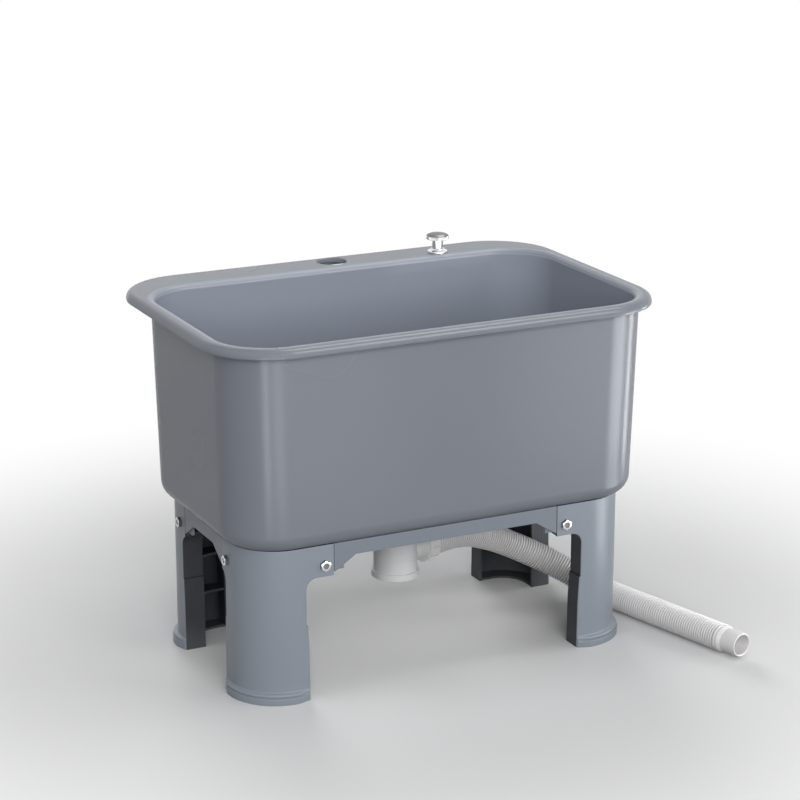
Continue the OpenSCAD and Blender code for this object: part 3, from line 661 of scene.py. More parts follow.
def turned(profile, segments, middle=(0, 0, 0), loop=False):
    """A shape turned round Z from points of radius and height."""
    angles = [2 * math.pi * k / segments for k in range(segments)]
    rings = [[(middle[0] + r * math.cos(a), middle[1] + r * math.sin(a), middle[2] + z)
              for a in angles] for r, z in profile]
    return Shell().rings(rings, loop=loop)


def arc(middle, radius, start, end, steps):
    """Points of an arc, as pairs, from one angle to another in degrees."""
    angles = [math.radians(start + (end - start) * k / steps) for k in range(steps + 1)]
    return [(middle[0] + radius * math.cos(a), middle[1] + radius * math.sin(a))
            for a in angles]


def softly(share):
    """0 to 1 with level ends."""
    share = min(1.0, max(0.0, share))
    return share * share * (3 - 2 * share)


# Tub --------------------------------------------------------------------------

# Steps round a corner of the tub and over a rounded edge
CORNER_STEPS = 18
ARC_STEPS = 8
# Room round the drain's flange, and how far the floor falls to it
RECESS_GAP = 0.004
FLOOR_FALL = 0.004
# Radius where the walls meet the deck and the rim
DECK_ROOT = 0.003
# Holes: how deep and how high their cutters reach, their steps, and the tap hole's edge
HOLE_DEPTH = 0.012
HOLE_RISE = 0.002
HOLE_STEPS = 72
TAP_EDGE = 0.0018
# Gussets: places as shares of the rim's width, height and half their thickness
GUSSETS = (-0.36, -0.12, 0.12, 0.36)
GUSSET_HEIGHT = 0.026
GUSSET_HALF = 0.0015


def plan_ring(tub, side, front, rear, corner, z):
    """A ring round the tub, set in from the rim's outline."""
    x = tub.rim_width / 2 - side - corner
    y_rear = tub.rim_depth / 2 - rear - corner
    y_front = -tub.rim_depth / 2 + front + corner
    middles = [(x, y_rear), (-x, y_rear), (-x, y_front), (x, y_front)]
    return [(px, py, z) for quarter, middle in enumerate(middles)
            for px, py in arc(middle, corner, 90 * quarter, 90 * quarter + 90, CORNER_STEPS)]


def wall_ring(tub, inset, z):
    """A ring on the tub's walls, which lean inwards as they go down."""
    lean = tub.lean * (tub.rim_z - z) + inset
    return plan_ring(tub, tub.overhang + lean, tub.overhang + lean, tub.deck + lean,
                     tub.wall_corner - inset, z)


def drain_ring(radius, z):
    """A ring of as many points round the drain."""
    count = 4 * (CORNER_STEPS + 1)
    low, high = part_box("drain_flange")
    return [((low.x + high.x) / 2 + radius * math.cos(a),
             (low.y + high.y) / 2 + radius * math.sin(a), z)
            for a in (2 * math.pi * (k + 0.5) / count for k in range(count))]


def tub_rings(tub):
    """The tub's surface: up the outside, over the rim, down the inside to the drain.

    Gives its rings, and how many of them come before the inside begins.
    """
    top, base = tub.rim_z, tub.base_z
    flange_low, flange_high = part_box("drain_flange")
    recess = (flange_high.x - flange_low.x) / 2 + RECESS_GAP
    floor_low = base + tub.wall - FLOOR_FALL
    recess_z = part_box("drain_gasket_upper")[0].z
    under_z = recess_z - tub.wall
    hole = tub.drain_hole / 2
    rings = [drain_ring(hole, recess_z), drain_ring(hole, under_z),
             drain_ring(recess + 0.002, under_z),
             drain_ring(recess + 0.003, under_z + 0.001),
             drain_ring(recess + 0.0055, base - 0.0045),
             drain_ring(recess + 0.0075, base - 0.0035),
             wall_ring(tub, tub.base_radius + 0.014, base)]
    rings += [wall_ring(tub, tub.base_radius - out, z) for out, z in
              arc((0, base + tub.base_radius), tub.base_radius, -90, 0, ARC_STEPS)]
    deck_under, root = top - tub.wall, DECK_ROOT
    rings += [wall_ring(tub, 0, deck_under - root)]
    rings += [wall_ring(tub, -out, z) for out, z in
              arc((root, deck_under - root), root, 180, 90, ARC_STEPS // 2)[1:]]
    inner = tub.lip_wall
    rings += [plan_ring(tub, inner + fall, inner + fall, inner + fall,
                        tub.rim_corner - inner - fall, z) for fall, z in (
                  (0.002, deck_under), (0.0006, deck_under - 0.0006),
                  (0.0, deck_under - 0.002), (0.0, top - tub.lip + 0.0015),
                  (-0.0004, top - tub.lip + 0.0004), (-0.0014, top - tub.lip))]
    rings += [plan_ring(tub, out, out, out, tub.rim_corner - out, z) for out, z in (
        (0.0012, top - tub.lip), (0.0003, top - tub.lip + 0.0005),
        (0.0, top - tub.lip + 0.0016))]
    rings += [plan_ring(tub, tub.roll - out, tub.roll - out, tub.roll - out,
                        tub.rim_corner - tub.roll + out, z) for out, z in
              arc((0, top - tub.roll), tub.roll, 0, 90, ARC_STEPS)]
    rings += [wall_ring(tub, tub.wall + out, z) for out, z in
              arc((-tub.mouth, top - tub.mouth), tub.mouth, 90, 0, ARC_STEPS)]
    outside = len(rings) - 3
    rings += [wall_ring(tub, tub.wall + tub.floor_radius - out, z) for out, z in
              arc((0, base + tub.wall + tub.floor_radius), tub.floor_radius, 0, -90,
                  ARC_STEPS)]
    rings += [drain_ring(recess + 0.003, floor_low + 0.0004),
              drain_ring(recess + 0.001, floor_low - 0.0003),
              drain_ring(recess - 0.0002, floor_low - 0.0015),
              drain_ring(recess - 0.002, recess_z + 0.0006),
              drain_ring(recess - 0.003, recess_z)]
    return rings, outside


def hole_cutter(x, y, top, diameter, rounding=0.0):
    """A cutter for a round hole, whose upper edge may be rounded."""
    radius = diameter / 2
    profile = [(radius, top - HOLE_DEPTH), (radius, top - rounding)]
    if rounding:
        profile += [(radius + rounding - out, z) for out, z in
                    arc((0, top - rounding), rounding, 0, 90, 5)[1:]]
    profile += [(radius + rounding, top + HOLE_RISE)]
    return turned(profile, HOLE_STEPS, (x, y, 0))


def gusset(tub, x):
    """One gusset between the rear wall and the deck."""
    wall_y = tub.rim_depth / 2 - tub.deck
    lip_y = tub.rim_depth / 2 - tub.lip_wall / 2
    under = tub.rim_z - tub.wall
    outline = [(wall_y - 0.002, under - GUSSET_HEIGHT), (wall_y, under - GUSSET_HEIGHT),
               (wall_y + 0.006, under - 0.021), (lip_y, under - 0.006),
               (lip_y, under + 0.001), (wall_y - 0.002, under + 0.001)]
    return Shell().rings([[(x + side, y, z) for y, z in outline]
                          for side in (-GUSSET_HALF, GUSSET_HALF)])


def make_tub(settings):
    """The tub with its rim, deck, holes, recess and gussets."""
    tub = settings.tub
    rings, outside = tub_rings(tub)
    # The rows inside take the paler inside colour, which is painted light
    body = Shell().rings(rings, loop=True, rows_of=[
        0 if row < outside else 1 for row in range(len(rings))]).mesh("tub")
    lay_finishes(body, ["tub", "inner"])
    knob_low, knob_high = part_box("knob_cap")
    tap_y = tub.rim_depth / 2 - tub.tap_back
    cutters = [hole_cutter(tub.tap_x, tap_y, tub.rim_z, tub.tap_hole, TAP_EDGE),
               hole_cutter((knob_low.x + knob_high.x) / 2, (knob_low.y + knob_high.y) / 2,
                           tub.rim_z, tub.knob_hole)]
    mesh = combined("tub", body, cutters, "DIFFERENCE")
    whole = bmesh.new()
    whole.from_mesh(mesh)
    for share in GUSSETS:
        whole.from_mesh(gusset(tub, share * tub.rim_width).mesh("gusset"))
    whole.to_mesh(mesh)
    whole.free()
    return add_piece("tub_moulding", mesh, ["tub", "inner"], "tub", ["basin"], angle=38)


# Stand ------------------------------------------------------------------------

# The foot's skirt: heights, and how far it stands proud of the leg at each
SKIRT = [(0.0, 0.0050), (0.0005, 0.0055), (0.0064, 0.0055), (0.0070, 0.0052),
         (0.0073, 0.0042), (0.0076, 0.0034), (0.0080, 0.0034), (0.0083, 0.0040),
         (0.0088, 0.0045), (0.0100, 0.0045), (0.0107, 0.0040), (0.0112, 0.0028),
         (0.0115, 0.0012), (0.0119, 0.0004), (0.0126, 0.0)]
# Where the plain shaft starts above the skirt, its rings up to the knee, and the height
# of its ring between knee and arch
SHAFT_START = 0.022
SHAFT_RINGS = 10
SHAFT_MIDDLE = 0.100
# The knee: its height and its step, the flare under it and the run of that, and the
# taper to the floor
KNEE_HEIGHT = 0.0006
KNEE_STEP = 0.0015
KNEE_FLARE = 0.0010
KNEE_RUN = 0.030
KNEE_TAPER = 0.0008
# Steps along a leg's straight faces, round its outer and inner corner and up an arch
FACE_STEPS = 5
OUTER_STEPS = 20
INNER_STEPS = 12
BAND_STEPS = 10
ARCH_STEPS = 6
# How far the bands inside a leg stay off its skin
SKIN_GAP = 0.0006
# Webs: their places as shares of the leg's height, and their lower and upper face
WEBS = (0, 0.26, 0.52, 0.76)
WEB_LOW, WEB_HIGH = 0.0004, 0.0029
# The ledge's lower and upper face below the leg's top, and where the tabs' floors start
LEDGE_LOW, LEDGE_HIGH = 0.003, 0.0003
TAB_START = 0.004
# Bolts in from the ends of the front and side tabs, and the room in their holes
FRONT_INSET = 0.010
SIDE_INSET = 0.013
BOLT_PLAY = 0.0003
DRILL_REACH = (-0.01, 0.006)
DRILL_STEPS = 32


def knee(stand, z):
    """How much wider a leg is at a height below its knee."""
    if z >= stand.knee_z:
        return 0.0
    return (KNEE_STEP + KNEE_FLARE * softly((stand.knee_z - z) / KNEE_RUN)
            + KNEE_TAPER * (1 - z / stand.knee_z))


def leg_ring(stand, x_end, y_end, proud, z, flanges):
    """A leg's cut at a height, corner at the origin: its skin and its return edges.

    Gives its points and the finish of each side. Without flanges the ends are plain.
    """
    radius, wall, edge = stand.corner, stand.wall, 0.0012
    fade = 0.016

    def straight(end):
        return [end + (radius - end) * k / FACE_STEPS for k in range(FACE_STEPS + 1)]

    def out(distance):
        return proud * (0.22 + 0.78 * softly(distance / fade))

    outer = []
    if flanges:
        outer += [(x_end, stand.flange)]
        outer += arc((x_end - edge, edge), edge, 0, -90, 3)[:-1]
    outer += [(x, -out(x_end - x)) for x in straight(x_end - (edge if flanges else 0))]
    for k in range(1, OUTER_STEPS):
        turn = 90 * k / OUTER_STEPS
        angle = math.radians(-90 - turn)
        reach = radius + out(x_end - radius + radius * math.radians(turn)
                             if k < OUTER_STEPS / 2 else
                             y_end - radius + radius * math.radians(90 - turn))
        outer.append((radius + reach * math.cos(angle), radius + reach * math.sin(angle)))
    outer += [(-out(y_end - y), y) for y in straight(y_end - (edge if flanges else 0))[::-1]]
    skin = len(outer)
    if flanges:
        outer += arc((edge, y_end - edge), edge, 180, 90, 3)[1:]
        outer += [(stand.flange, y_end), (stand.flange, y_end - wall), (wall, y_end - wall)]
    else:
        outer += [(wall, y_end)]
    outer += [(wall, radius)]
    outer += arc((radius, radius), radius - wall, 180, 270, INNER_STEPS)[1:-1]
    outer += [(radius, wall)]
    if flanges:
        outer += [(x_end - wall, wall), (x_end - wall, stand.flange)]
    else:
        outer += [(x_end, wall)]
    start = 1 if flanges else 0
    slots = [0 if start <= k < skin - 1 + start else 1 for k in range(len(outer))]
    return [(x, y, z) for x, y in outer], slots


def leg_band(stand, x_end, y_end, width, low, high):
    """A flat band round the inside of a leg's corner."""
    radius, skin = stand.corner, SKIN_GAP
    middle = (radius, radius)
    outer = [(x_end - skin, skin), *arc(middle, radius - skin, -90, -180, BAND_STEPS),
             (skin, y_end - skin)]
    inner = [(width, y_end - skin), *arc(middle, radius - width, 180, 270, BAND_STEPS),
             (x_end - skin, width)]
    flat = outer + inner
    return Shell().rings([[(x, y, z) for x, y in flat] for z in (low, high)],
                         slots=[1] * len(flat))


def leg_mesh(stand, top):
    """A whole leg with its corner at the origin and its faces along X and Y."""
    arch_z = top - stand.tab_height
    levels = SKIRT + [(z, 0.0) for z in
                      np.linspace(SHAFT_START, stand.knee_z - KNEE_HEIGHT, SHAFT_RINGS)]
    levels += [(stand.knee_z, 0.0), (SHAFT_MIDDLE, 0.0)]
    rings = []
    for z, proud in levels:
        wide = knee(stand, z)
        ring, slots = leg_ring(stand, stand.width + wide, stand.depth + wide,
                               proud, z, True)
        rings.append(ring)
    for k in range(ARCH_STEPS + 1):
        turn = math.radians(90 * k / ARCH_STEPS)
        reach = stand.arch * (1 - math.cos(turn))
        ring, slots = leg_ring(stand, stand.width + reach,
                               stand.depth + min(reach, stand.tab_side - 0.0001), 0.0,
                               arch_z - stand.arch * (1 - math.sin(turn)), True)
        rings.append(ring)
    column = Shell().rings(rings, slots=slots)
    x_tab, y_tab = stand.width + stand.tab_front, stand.depth + stand.tab_side
    upper, upper_slots = zip(*(leg_ring(stand, x_tab, y_tab, 0.0, z, False)
                               for z in (arch_z, top)))
    parts = [Shell().rings(list(upper), slots=upper_slots[0]),
             leg_band(stand, x_tab, y_tab, stand.ledge, top - LEDGE_LOW, top - LEDGE_HIGH)]
    parts += [leg_band(stand, stand.width, stand.depth, stand.flange,
                       share * top + WEB_LOW, share * top + WEB_HIGH) for share in WEBS]
    floor_z = arch_z + stand.wall
    parts += [
        Shell().box((stand.width + TAB_START, SKIN_GAP, arch_z),
                    (x_tab - SKIN_GAP, stand.flange, floor_z), 1),
        Shell().box((SKIN_GAP, stand.depth + TAB_START, arch_z),
                    (stand.flange, y_tab - SKIN_GAP, floor_z), 1)]
    first = column.mesh("leg")
    lay_finishes(first, ["stand", "inside"])
    return combined("leg", first, parts, "UNION")


def drilled_leg(stand, mesh, x, y, z):
    """Cuts the two bolt holes in a leg's tabs."""
    radius, steps = stand.bolt_size / 2 + BOLT_PLAY, DRILL_STEPS
    turn = [(radius * math.cos(2 * math.pi * k / steps),
             radius * math.sin(2 * math.pi * k / steps)) for k in range(steps)]
    front = Shell().rings([[(x + a, depth, z + b) for a, b in turn]
                           for depth in DRILL_REACH], slots=[1] * steps)
    side = Shell().rings([[(depth, y + a, z + b) for a, b in turn]
                          for depth in DRILL_REACH], slots=[1] * steps)
    return combined("leg", mesh, [front, side], "DIFFERENCE")


def make_legs(settings):
    """The four legs, each a mirrored copy of one moulding."""
    stand = settings.stand
    bolt_low, bolt_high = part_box("frame_bolts")
    mesh = drilled_leg(stand, leg_mesh(stand, settings.tub.base_z),
                       stand.width + stand.tab_front - FRONT_INSET,
                       stand.depth + stand.tab_side - SIDE_INSET,
                       (bolt_low.z + bolt_high.z) / 2)
    for node, (across, along) in LEGS.items():
        low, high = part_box(node)
        corner_x = high.x - stand.foot_proud if across > 0 else low.x + stand.foot_proud
        corner_y = low.y + stand.foot_proud if along > 0 else high.y - stand.foot_proud
        copy = mesh.copy()
        copy.name = node
        for vertex in copy.vertices:
            vertex.co = Vector((corner_x - across * vertex.co.x,
                                corner_y + along * vertex.co.y, vertex.co.z))
        if -across * along < 0:
            copy.flip_normals()
        add_piece(node + "_moulding", copy, ["stand", "inside"], "stand", [node],
                  angle=40, bevel=0.0004)


# Fasteners --------------------------------------------------------------------

# Bolt heads and nuts: steps round one, its flat face as a share of the hexagon, how
# steeply its corners turn down, and the radius where a closed face ends
HEX_STEPS = 96
HEX_FACE = 0.96
HEX_SLOPE = 0.55
POINT = 0.0002
# A head's hollow: shares of its face and heights over it, and the share at its foot
DISH_EDGE = ((0.94, 0.0001), (0.68, 0.0001), (0.62, -0.0002))
DISH_FOOT = 0.56
# The bolt's head, its hollow, its shank's reach and the pitch of its thread
BOLT_HEAD = 0.004
BOLT_DISH = 0.0009
BOLT_REACH = 0.0142
BOLT_PITCH = 0.001
SHANK_STEPS = 40
# Far faces of the washer and the nut behind the stand, and the radii of their bores
WASHER_TOP = 0.0012
NUT_TOP = 0.0062
WASHER_BORE = 0.0033
NUT_BORE = 0.00305
WASHER_STEPS = 48


def hexagon(size, angle):
    """Distance from the middle of a hexagon to its side at an angle in radians."""
    turn = (angle + math.pi / 6) % (math.pi / 3) - math.pi / 6
    return size / 2 * math.cos(math.pi / 6) / math.cos(turn)


def hex_prism(size, low, high, chamfers, bore=0.0, dish=0.0):
    """A hexagon with its corners turned down, as bolt heads and nuts are."""
    angles = [2 * math.pi * k / HEX_STEPS + math.pi / 6 for k in range(HEX_STEPS)]
    flat = size / 2 * math.cos(math.pi / 6)
    face = flat * HEX_FACE

    def ring(radius, z):
        return [(radius * math.cos(a), radius * math.sin(a), z) for a in angles]

    def sides(z, sign, chamfer):
        return [(hexagon(size, a) * math.cos(a), hexagon(size, a) * math.sin(a),
                 z - sign * (max(0.0, hexagon(size, a) - face) * HEX_SLOPE if chamfer else 0))
                for a in angles]

    rings = [ring(bore or POINT, low), ring(face, low), sides(low, -1, chamfers[0]),
             sides(high, 1, chamfers[1]), ring(face, high)]
    # Finish 1 is the painted shade on the sides and in the hollow
    finishes = [0, 0, 1, 0]
    if dish:
        rings += [ring(face * share, high + rise) for share, rise in DISH_EDGE]
        rings += [ring(face * DISH_FOOT, high - dish)]
        finishes += [0, 0, 0, 1]
    rings += [ring(bore or POINT, high - dish)]
    finishes += [1 if dish else 0, 0]
    return Shell().rings(rings, loop=bool(bore), rows_of=finishes)


def bolt_mesh(stand):
    """A hex bolt with its head down in Z below 0 and its shank up into the stand."""
    head = hex_prism(stand.hex_size, 0.0, BOLT_HEAD, (False, True), dish=BOLT_DISH)
    head.points = [(x, -y, -z) for x, y, z in head.points]
    radius, reach = stand.bolt_size / 2, BOLT_REACH
    profile = [(POINT, -0.001), (radius, -0.001), (radius, 0.006)]
    z = 0.0065
    while z < reach - 0.0015:
        profile += [(radius - 0.0001, z), (radius - 0.0006, z + BOLT_PITCH / 2)]
        z += BOLT_PITCH
    profile += [(radius - 0.0002, reach - 0.001), (radius - 0.0010, reach), (POINT, reach)]
    shank = turned(profile, SHANK_STEPS)
    whole = bmesh.new()
    whole.from_mesh(head.mesh("head"))
    whole.from_mesh(shank.mesh("shank"))
    mesh = bpy.data.meshes.new("bolt")
    whole.to_mesh(mesh)
    whole.free()
    return mesh


def bolt_places(settings):
    """Place and turn of each bolt, on the outer faces of the stand, and their height."""
    stand = settings.stand
    low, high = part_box("frame_bolts")
    x_face = high.x - BOLT_HEAD
    y_front, y_rear = low.y + BOLT_HEAD, high.y - BOLT_HEAD
    bolt_x = x_face - stand.width - stand.tab_front + FRONT_INSET
    reach = stand.depth + stand.tab_side - SIDE_INSET
    places = [(side * bolt_x, y, turn) for side in (-1, 1)
              for y, turn in ((y_front, 0), (y_rear, 180))]
    places += [(side * x_face, y, side * 90) for side in (-1, 1)
               for y in (y_front + reach, y_rear - reach)]
    return places, (low.z + high.z) / 2


def make_fasteners(settings):
    """Bolts, washers and nuts of the stand."""
    stand = settings.stand
    wall = 2 * stand.wall
    kinds = {
        "frame_bolts": bolt_mesh(stand),
        "frame_washers": turned([
            (WASHER_BORE, wall), (0.0060, wall), (0.00635, wall + 0.0003),
            (0.00635, wall + 0.0009), (0.0061, wall + WASHER_TOP),
            (WASHER_BORE, wall + WASHER_TOP)], WASHER_STEPS, loop=True).mesh("washer"),
        "frame_nuts": hex_prism(stand.hex_size, wall + WASHER_TOP, wall + NUT_TOP,
                                (True, True), bore=NUT_BORE).mesh("nut"),
    }
    places, bolt_z = bolt_places(settings)
    for node, mesh in kinds.items():
        whole = bmesh.new()
        for x, y, turn in places:
            copy = mesh.copy()
            c, s = math.cos(math.radians(turn)), math.sin(math.radians(turn))
            for vertex in copy.vertices:
                across, up, into = vertex.co.x, vertex.co.y, vertex.co.z
                vertex.co = Vector((x + across * c - into * s, y + across * s + into * c,
                                    bolt_z - up))
            whole.from_mesh(copy)
            bpy.data.meshes.remove(copy)
        made = bpy.data.meshes.new(node)
        bmesh.ops.recalc_face_normals(whole, faces=whole.faces)
        whole.to_mesh(made)
        whole.free()
        add_piece(node + "_detailed", made, ["bolt", "bolt_shade"], "bright_metal", [node],
                  angle=25)


# Knob -------------------------------------------------------------------------

# Steps round the turned pieces, steps to a knurl, and how deep the knurls are cut
TURNED_STEPS = 72
KNURL_STEPS = 4
KNURL_DEPTH = 0.0004


def knob_cap_shell(drain, middle, low, high):
    """The knurled cap, turned from radius, height and share of knurl, with a crown painted
    dark for a dark reflection.
    """
    radius, knurls = drain.knob_width / 2, drain.knurls
    steps = knurls * KNURL_STEPS
    height = high - low
    profile = [(0.0040, low + 0.0031, 0), (0.0040, low, 0), (0.0080, low, 0),
               (radius - 0.0010, low, 0), (radius - 0.0003, low + 0.0004, 0.3),
               (radius, low + 0.0010, 1), (radius, low + height * 0.50, 1),
               (radius - 0.0002, low + height * 0.57, 0.5),
               (radius - 0.0007, low + height * 0.67, 0),
               (radius - 0.0016, low + height * 0.77, 0),
               (radius - 0.0030, low + height * 0.86, 0),
               (radius - 0.0050, low + height * 0.93, 0),
               (radius * 0.40, low + height * 0.98, 0), (0.0003, high, 0)]
    # The rows from here up take the crown's painted dark reflection
    crown = 7
    finishes = [0 if row < crown else 1 for row in range(len(profile) - 1)]
    rings = []
    for r, z, knurled in profile:
        ring = []
        for k in range(steps):
            angle = 2 * math.pi * k / steps
            cut = knurled * KNURL_DEPTH * (0.5 - 0.5 * math.cos(angle * knurls))
            ring.append((middle.x + (r - cut) * math.cos(angle),
                         middle.y + (r - cut) * math.sin(angle), z))
        rings.append(ring)
    return Shell().rings(rings, rows_of=finishes)


def make_knob(settings):
    """The lift knob: cap, tapered stem and bevelled collar."""
    drain, deck = settings.drain, settings.tub.rim_z
    low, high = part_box("knob_cap")
    middle = (low + high) / 2
    add_piece("knob_cap_knurled", knob_cap_shell(drain, middle, low.z, high.z).mesh("cap"),
              ["chrome", "crown"], "bright_metal", ["knob_cap"], "knob", angle=30)
    stem_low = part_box("knob_stem")[0].z
    shoulder = deck - 0.006
    radius = drain.stem_width / 2
    stem = [(0.0003, stem_low), (0.0016, stem_low), (0.0020, stem_low + 0.0004),
            (0.0020, shoulder - 0.0004), (0.0024, shoulder), (radius - 0.0008, shoulder),
            (radius - 0.0002, shoulder + 0.0006), (radius - 0.0002, deck + 0.0036),
            (radius - 0.0007, deck + 0.0044), (radius - 0.0007, deck + 0.0060),
            (radius - 0.0005, deck + 0.0090), (radius - 0.0002, deck + 0.0120),
            (radius - 0.0001, low.z - 0.0007), (radius + 0.0005, low.z - 0.0001),
            (0.0040, low.z - 0.0001), (0.0040, low.z + 0.0029), (0.0003, low.z + 0.0029)]
    axis = (middle.x, middle.y, 0)
    add_piece("knob_stem_tapered", turned(stem, TURNED_STEPS, axis).mesh("stem"),
              ["chrome"], "bright_metal", ["knob_stem"], "knob", angle=30)
    foot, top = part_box("knob_collar")[0].z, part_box("knob_collar")[1].z
    bore, tube = radius + 0.0001, radius + 0.002
    collar = [(0.0021, foot), (tube - 0.0006, foot), (tube, foot + 0.0006),
              (tube, deck - 0.0004), (tube, deck), (0.0106, deck), (0.0110, deck + 0.0004),
              (0.0110, deck + 0.0018), (0.0107, deck + 0.0023), (0.0101, deck + 0.0025),
              (0.0096, deck + 0.0027), (0.0083, deck + 0.0033), (0.0078, top - 0.0006),
              (0.0075, top - 0.0001), (bore + 0.0004, top), (bore, top - 0.0004),
              (bore, foot + 0.003), (0.0021, foot + 0.003)]
    add_piece("knob_collar_turned",
              turned(collar, TURNED_STEPS, axis, loop=True).mesh("collar"),
              ["chrome"], "bright_metal", ["knob_collar"], angle=30)


# Hose -------------------------------------------------------------------------

# One rib: shares of its pitch, and how deep the groove is at each
RIB_SHAPE = ((0.00, 0.00), (0.22, 0.06), (0.36, 0.45), (0.48, 0.95), (0.62, 0.95),
             (0.74, 0.45), (0.88, 0.06))
# Points round the hose and the connector, rings along the bore, and how much of the grooves'
# painted shade and dullness the bore takes
HOSE_SIDES = 32
CONNECTOR_SIDES = 64
BORE_RINGS = 60
BORE_GROOVE_SHADE = 0.6
# How far ahead and back the hose's direction is taken from
AHEAD = 0.0015


def hose_line(radius):
    """The hose's middle line: smooth curves through its route, kept above the floor.

    Each stretch from b to c leans on its neighbours a and d.
    """
    route = [Vector(point) for point in HOSE_ROUTE]
    line = []
    for k in range(len(route) - 1):
        b, c = route[k], route[k + 1]
        a = route[k - 1] if k else 2 * b - c
        d = route[k + 2] if k + 2 < len(route) else 2 * c - b
        for step in range(ROUTE_STEPS):
            t = step / ROUTE_STEPS
            line.append(0.5 * (2 * b + (c - a) * t + (2 * a - 5 * b + 4 * c - d) * t * t
                               + (3 * b - a - 3 * c + d) * t ** 3))
    line.append(route[-1])
    for point in line:
        point.z = max(point.z, radius)
    return line


def hose_rings(drain, line):
    """Rings of the ribbed outside and of the bore, the groove at each, and the length."""
    spots = np.array([tuple(point) for point in line])
    steps = np.linalg.norm(np.diff(spots, axis=0), axis=1)
    run = np.concatenate([[0.0], np.cumsum(steps)])
    whole = float(run[-1])
    crest, bore = drain.hose_width / 2, drain.hose_bore / 2
    ribs = int(whole / drain.rib_pitch)
    pitch = whole / ribs
    along = [((rib + place) * pitch, groove) for rib in range(ribs)
             for place, groove in RIB_SHAPE]
    along.append((whole, 0.0))

    def at(s):
        return np.array([np.interp(s, run, spots[:, axis]) for axis in range(3)])

    def ring(s, radius):
        ahead = at(min(s + AHEAD, whole)) - at(max(s - AHEAD, 0.0))
        ahead /= np.linalg.norm(ahead)
        side = np.cross(ahead, (0, 0, 1))
        side /= np.linalg.norm(side)
        up = np.cross(side, ahead)
        middle = at(s)
        return [middle + radius * (math.cos(2 * math.pi * k / HOSE_SIDES) * side
                                   + math.sin(2 * math.pi * k / HOSE_SIDES) * up)
                for k in range(HOSE_SIDES)]

    outside = [ring(s, crest - groove * drain.rib_depth) for s, groove in along]
    inside = [ring(s, bore) for s in np.linspace(whole, 0, BORE_RINGS)]
    grooves = [groove for _, groove in along] + [BORE_GROOVE_SHADE] * len(inside)
    return outside + inside, grooves, whole


def connector_shell(drain, start, ahead):
    """The connector: two bright collars with a groove, a shoulder and a spigot."""
    outer, spigot, bore = drain.hose_width / 2, drain.spigot / 2, drain.spigot / 2 - 0.002
    profile = [(outer - 0.0006, 0.0), (outer, 0.0004), (outer, 0.0019),
               (outer - 0.0005, 0.0023), (outer - 0.0011, 0.0026), (outer - 0.0011, 0.0031),
               (outer - 0.0005, 0.0034), (outer, 0.0038), (outer, 0.0056),
               (outer - 0.0004, 0.0062), (outer - 0.0012, 0.0074),
               (spigot + 0.0006, 0.0086), (spigot, 0.0092), (spigot, 0.0280),
               (spigot - 0.0005, 0.0288), (spigot - 0.0010, 0.0290),
               (bore + 0.0005, 0.0290), (bore, 0.0286), (bore, 0.0)]
    side = ahead.cross(Vector((0, 0, 1))).normalized()
    up = side.cross(ahead)
    angles = [2 * math.pi * k / CONNECTOR_SIDES for k in range(CONNECTOR_SIDES)]
    rings = [[start + ahead * along + radius * (math.cos(a) * side + math.sin(a) * up)
              for a in angles] for radius, along in profile]
    return Shell().rings(rings, loop=True)


def make_hose(settings):
    """The ribbed hose with its connector."""
    drain = settings.drain
    line = hose_line(drain.hose_width / 2)
    rings, grooves, whole = hose_rings(drain, line)
    mesh = Shell().rings(rings, loop=True).mesh("hose")
    share = mesh.attributes.new("groove", "FLOAT", "POINT")
    share.data.foreach_set("value", [groove for groove in grooves
                                     for _ in range(HOSE_SIDES)])
    hose = add_piece("drain_hose_ribbed", mesh, ["hose"], "hose_plastic", ["drain_hose"],
                     angle=60)
    ahead = (line[-1] - line[-2]).normalized()
    connector = add_piece("hose_connector_stepped",
                          connector_shell(drain, line[-1], ahead).mesh("connector"),
                          ["hose"], "hose_plastic", ["hose_connector"], angle=40)


# Carried-over pieces ----------------------------------------------------------

KEPT = {
    "apron": ["apron_front", "apron_rear", "apron_left", "apron_right"],
    "steel": ["drain_flange", "stopper_cap", "stopper_stem"],
    "rubber": ["drain_gasket_upper", "drain_gasket_lower", "drain_seal", "stopper_seal",
               "knob_washer", "hose_washer"],
    "fitting": ["drain_lock_nut", "drain_body", "cable_gland"],
    "brass": ["lever_pin", "lift_lever"],
    "bolt": ["knob_nut", "cable_ferrule"],
    "sheath": ["control_cable"],
    "hose": ["hose_nut"],
}
# How far their edges are rounded, in metres
EDGES = {"apron": 0.0007, "steel": 0.0003, "rubber": 0.0003, "fitting": 0.0005,
         "brass": 0.0003, "bolt": 0.0003, "sheath": 0.0003, "hose": 0.0004}
# Points that are one, faces that are flat, and edges that are sharp, in degrees
WELD_REACH = 0.000005
FLAT_ANGLE = 1.0
EDGE_ANGLE = 40


def finish_kept():
    """Finishes for the pieces whose CAD shape is kept, with their edges softened."""
    for finish, nodes in KEPT.items():
        for name in nodes:
            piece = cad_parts[name]
            piece.data.materials.clear()
            piece.data.materials.append(finish_named(finish))
            weld = piece.modifiers.new("weld", "WELD")
            weld.merge_threshold = WELD_REACH
            flat = piece.modifiers.new("flat", "DECIMATE")
            flat.decimate_type = "DISSOLVE"
            flat.angle_limit = math.radians(FLAT_ANGLE)
            rounding = piece.modifiers.new("rounding", "BEVEL")
            rounding.width = EDGES[finish]
            rounding.segments = BEVEL_STEPS
            rounding.limit_method = "ANGLE"
            rounding.angle_limit = math.radians(EDGE_ANGLE)
            even = piece.modifiers.new("even", "WEIGHTED_NORMAL")
            even.keep_sharp = False


# Stage ------------------------------------------------------------------------

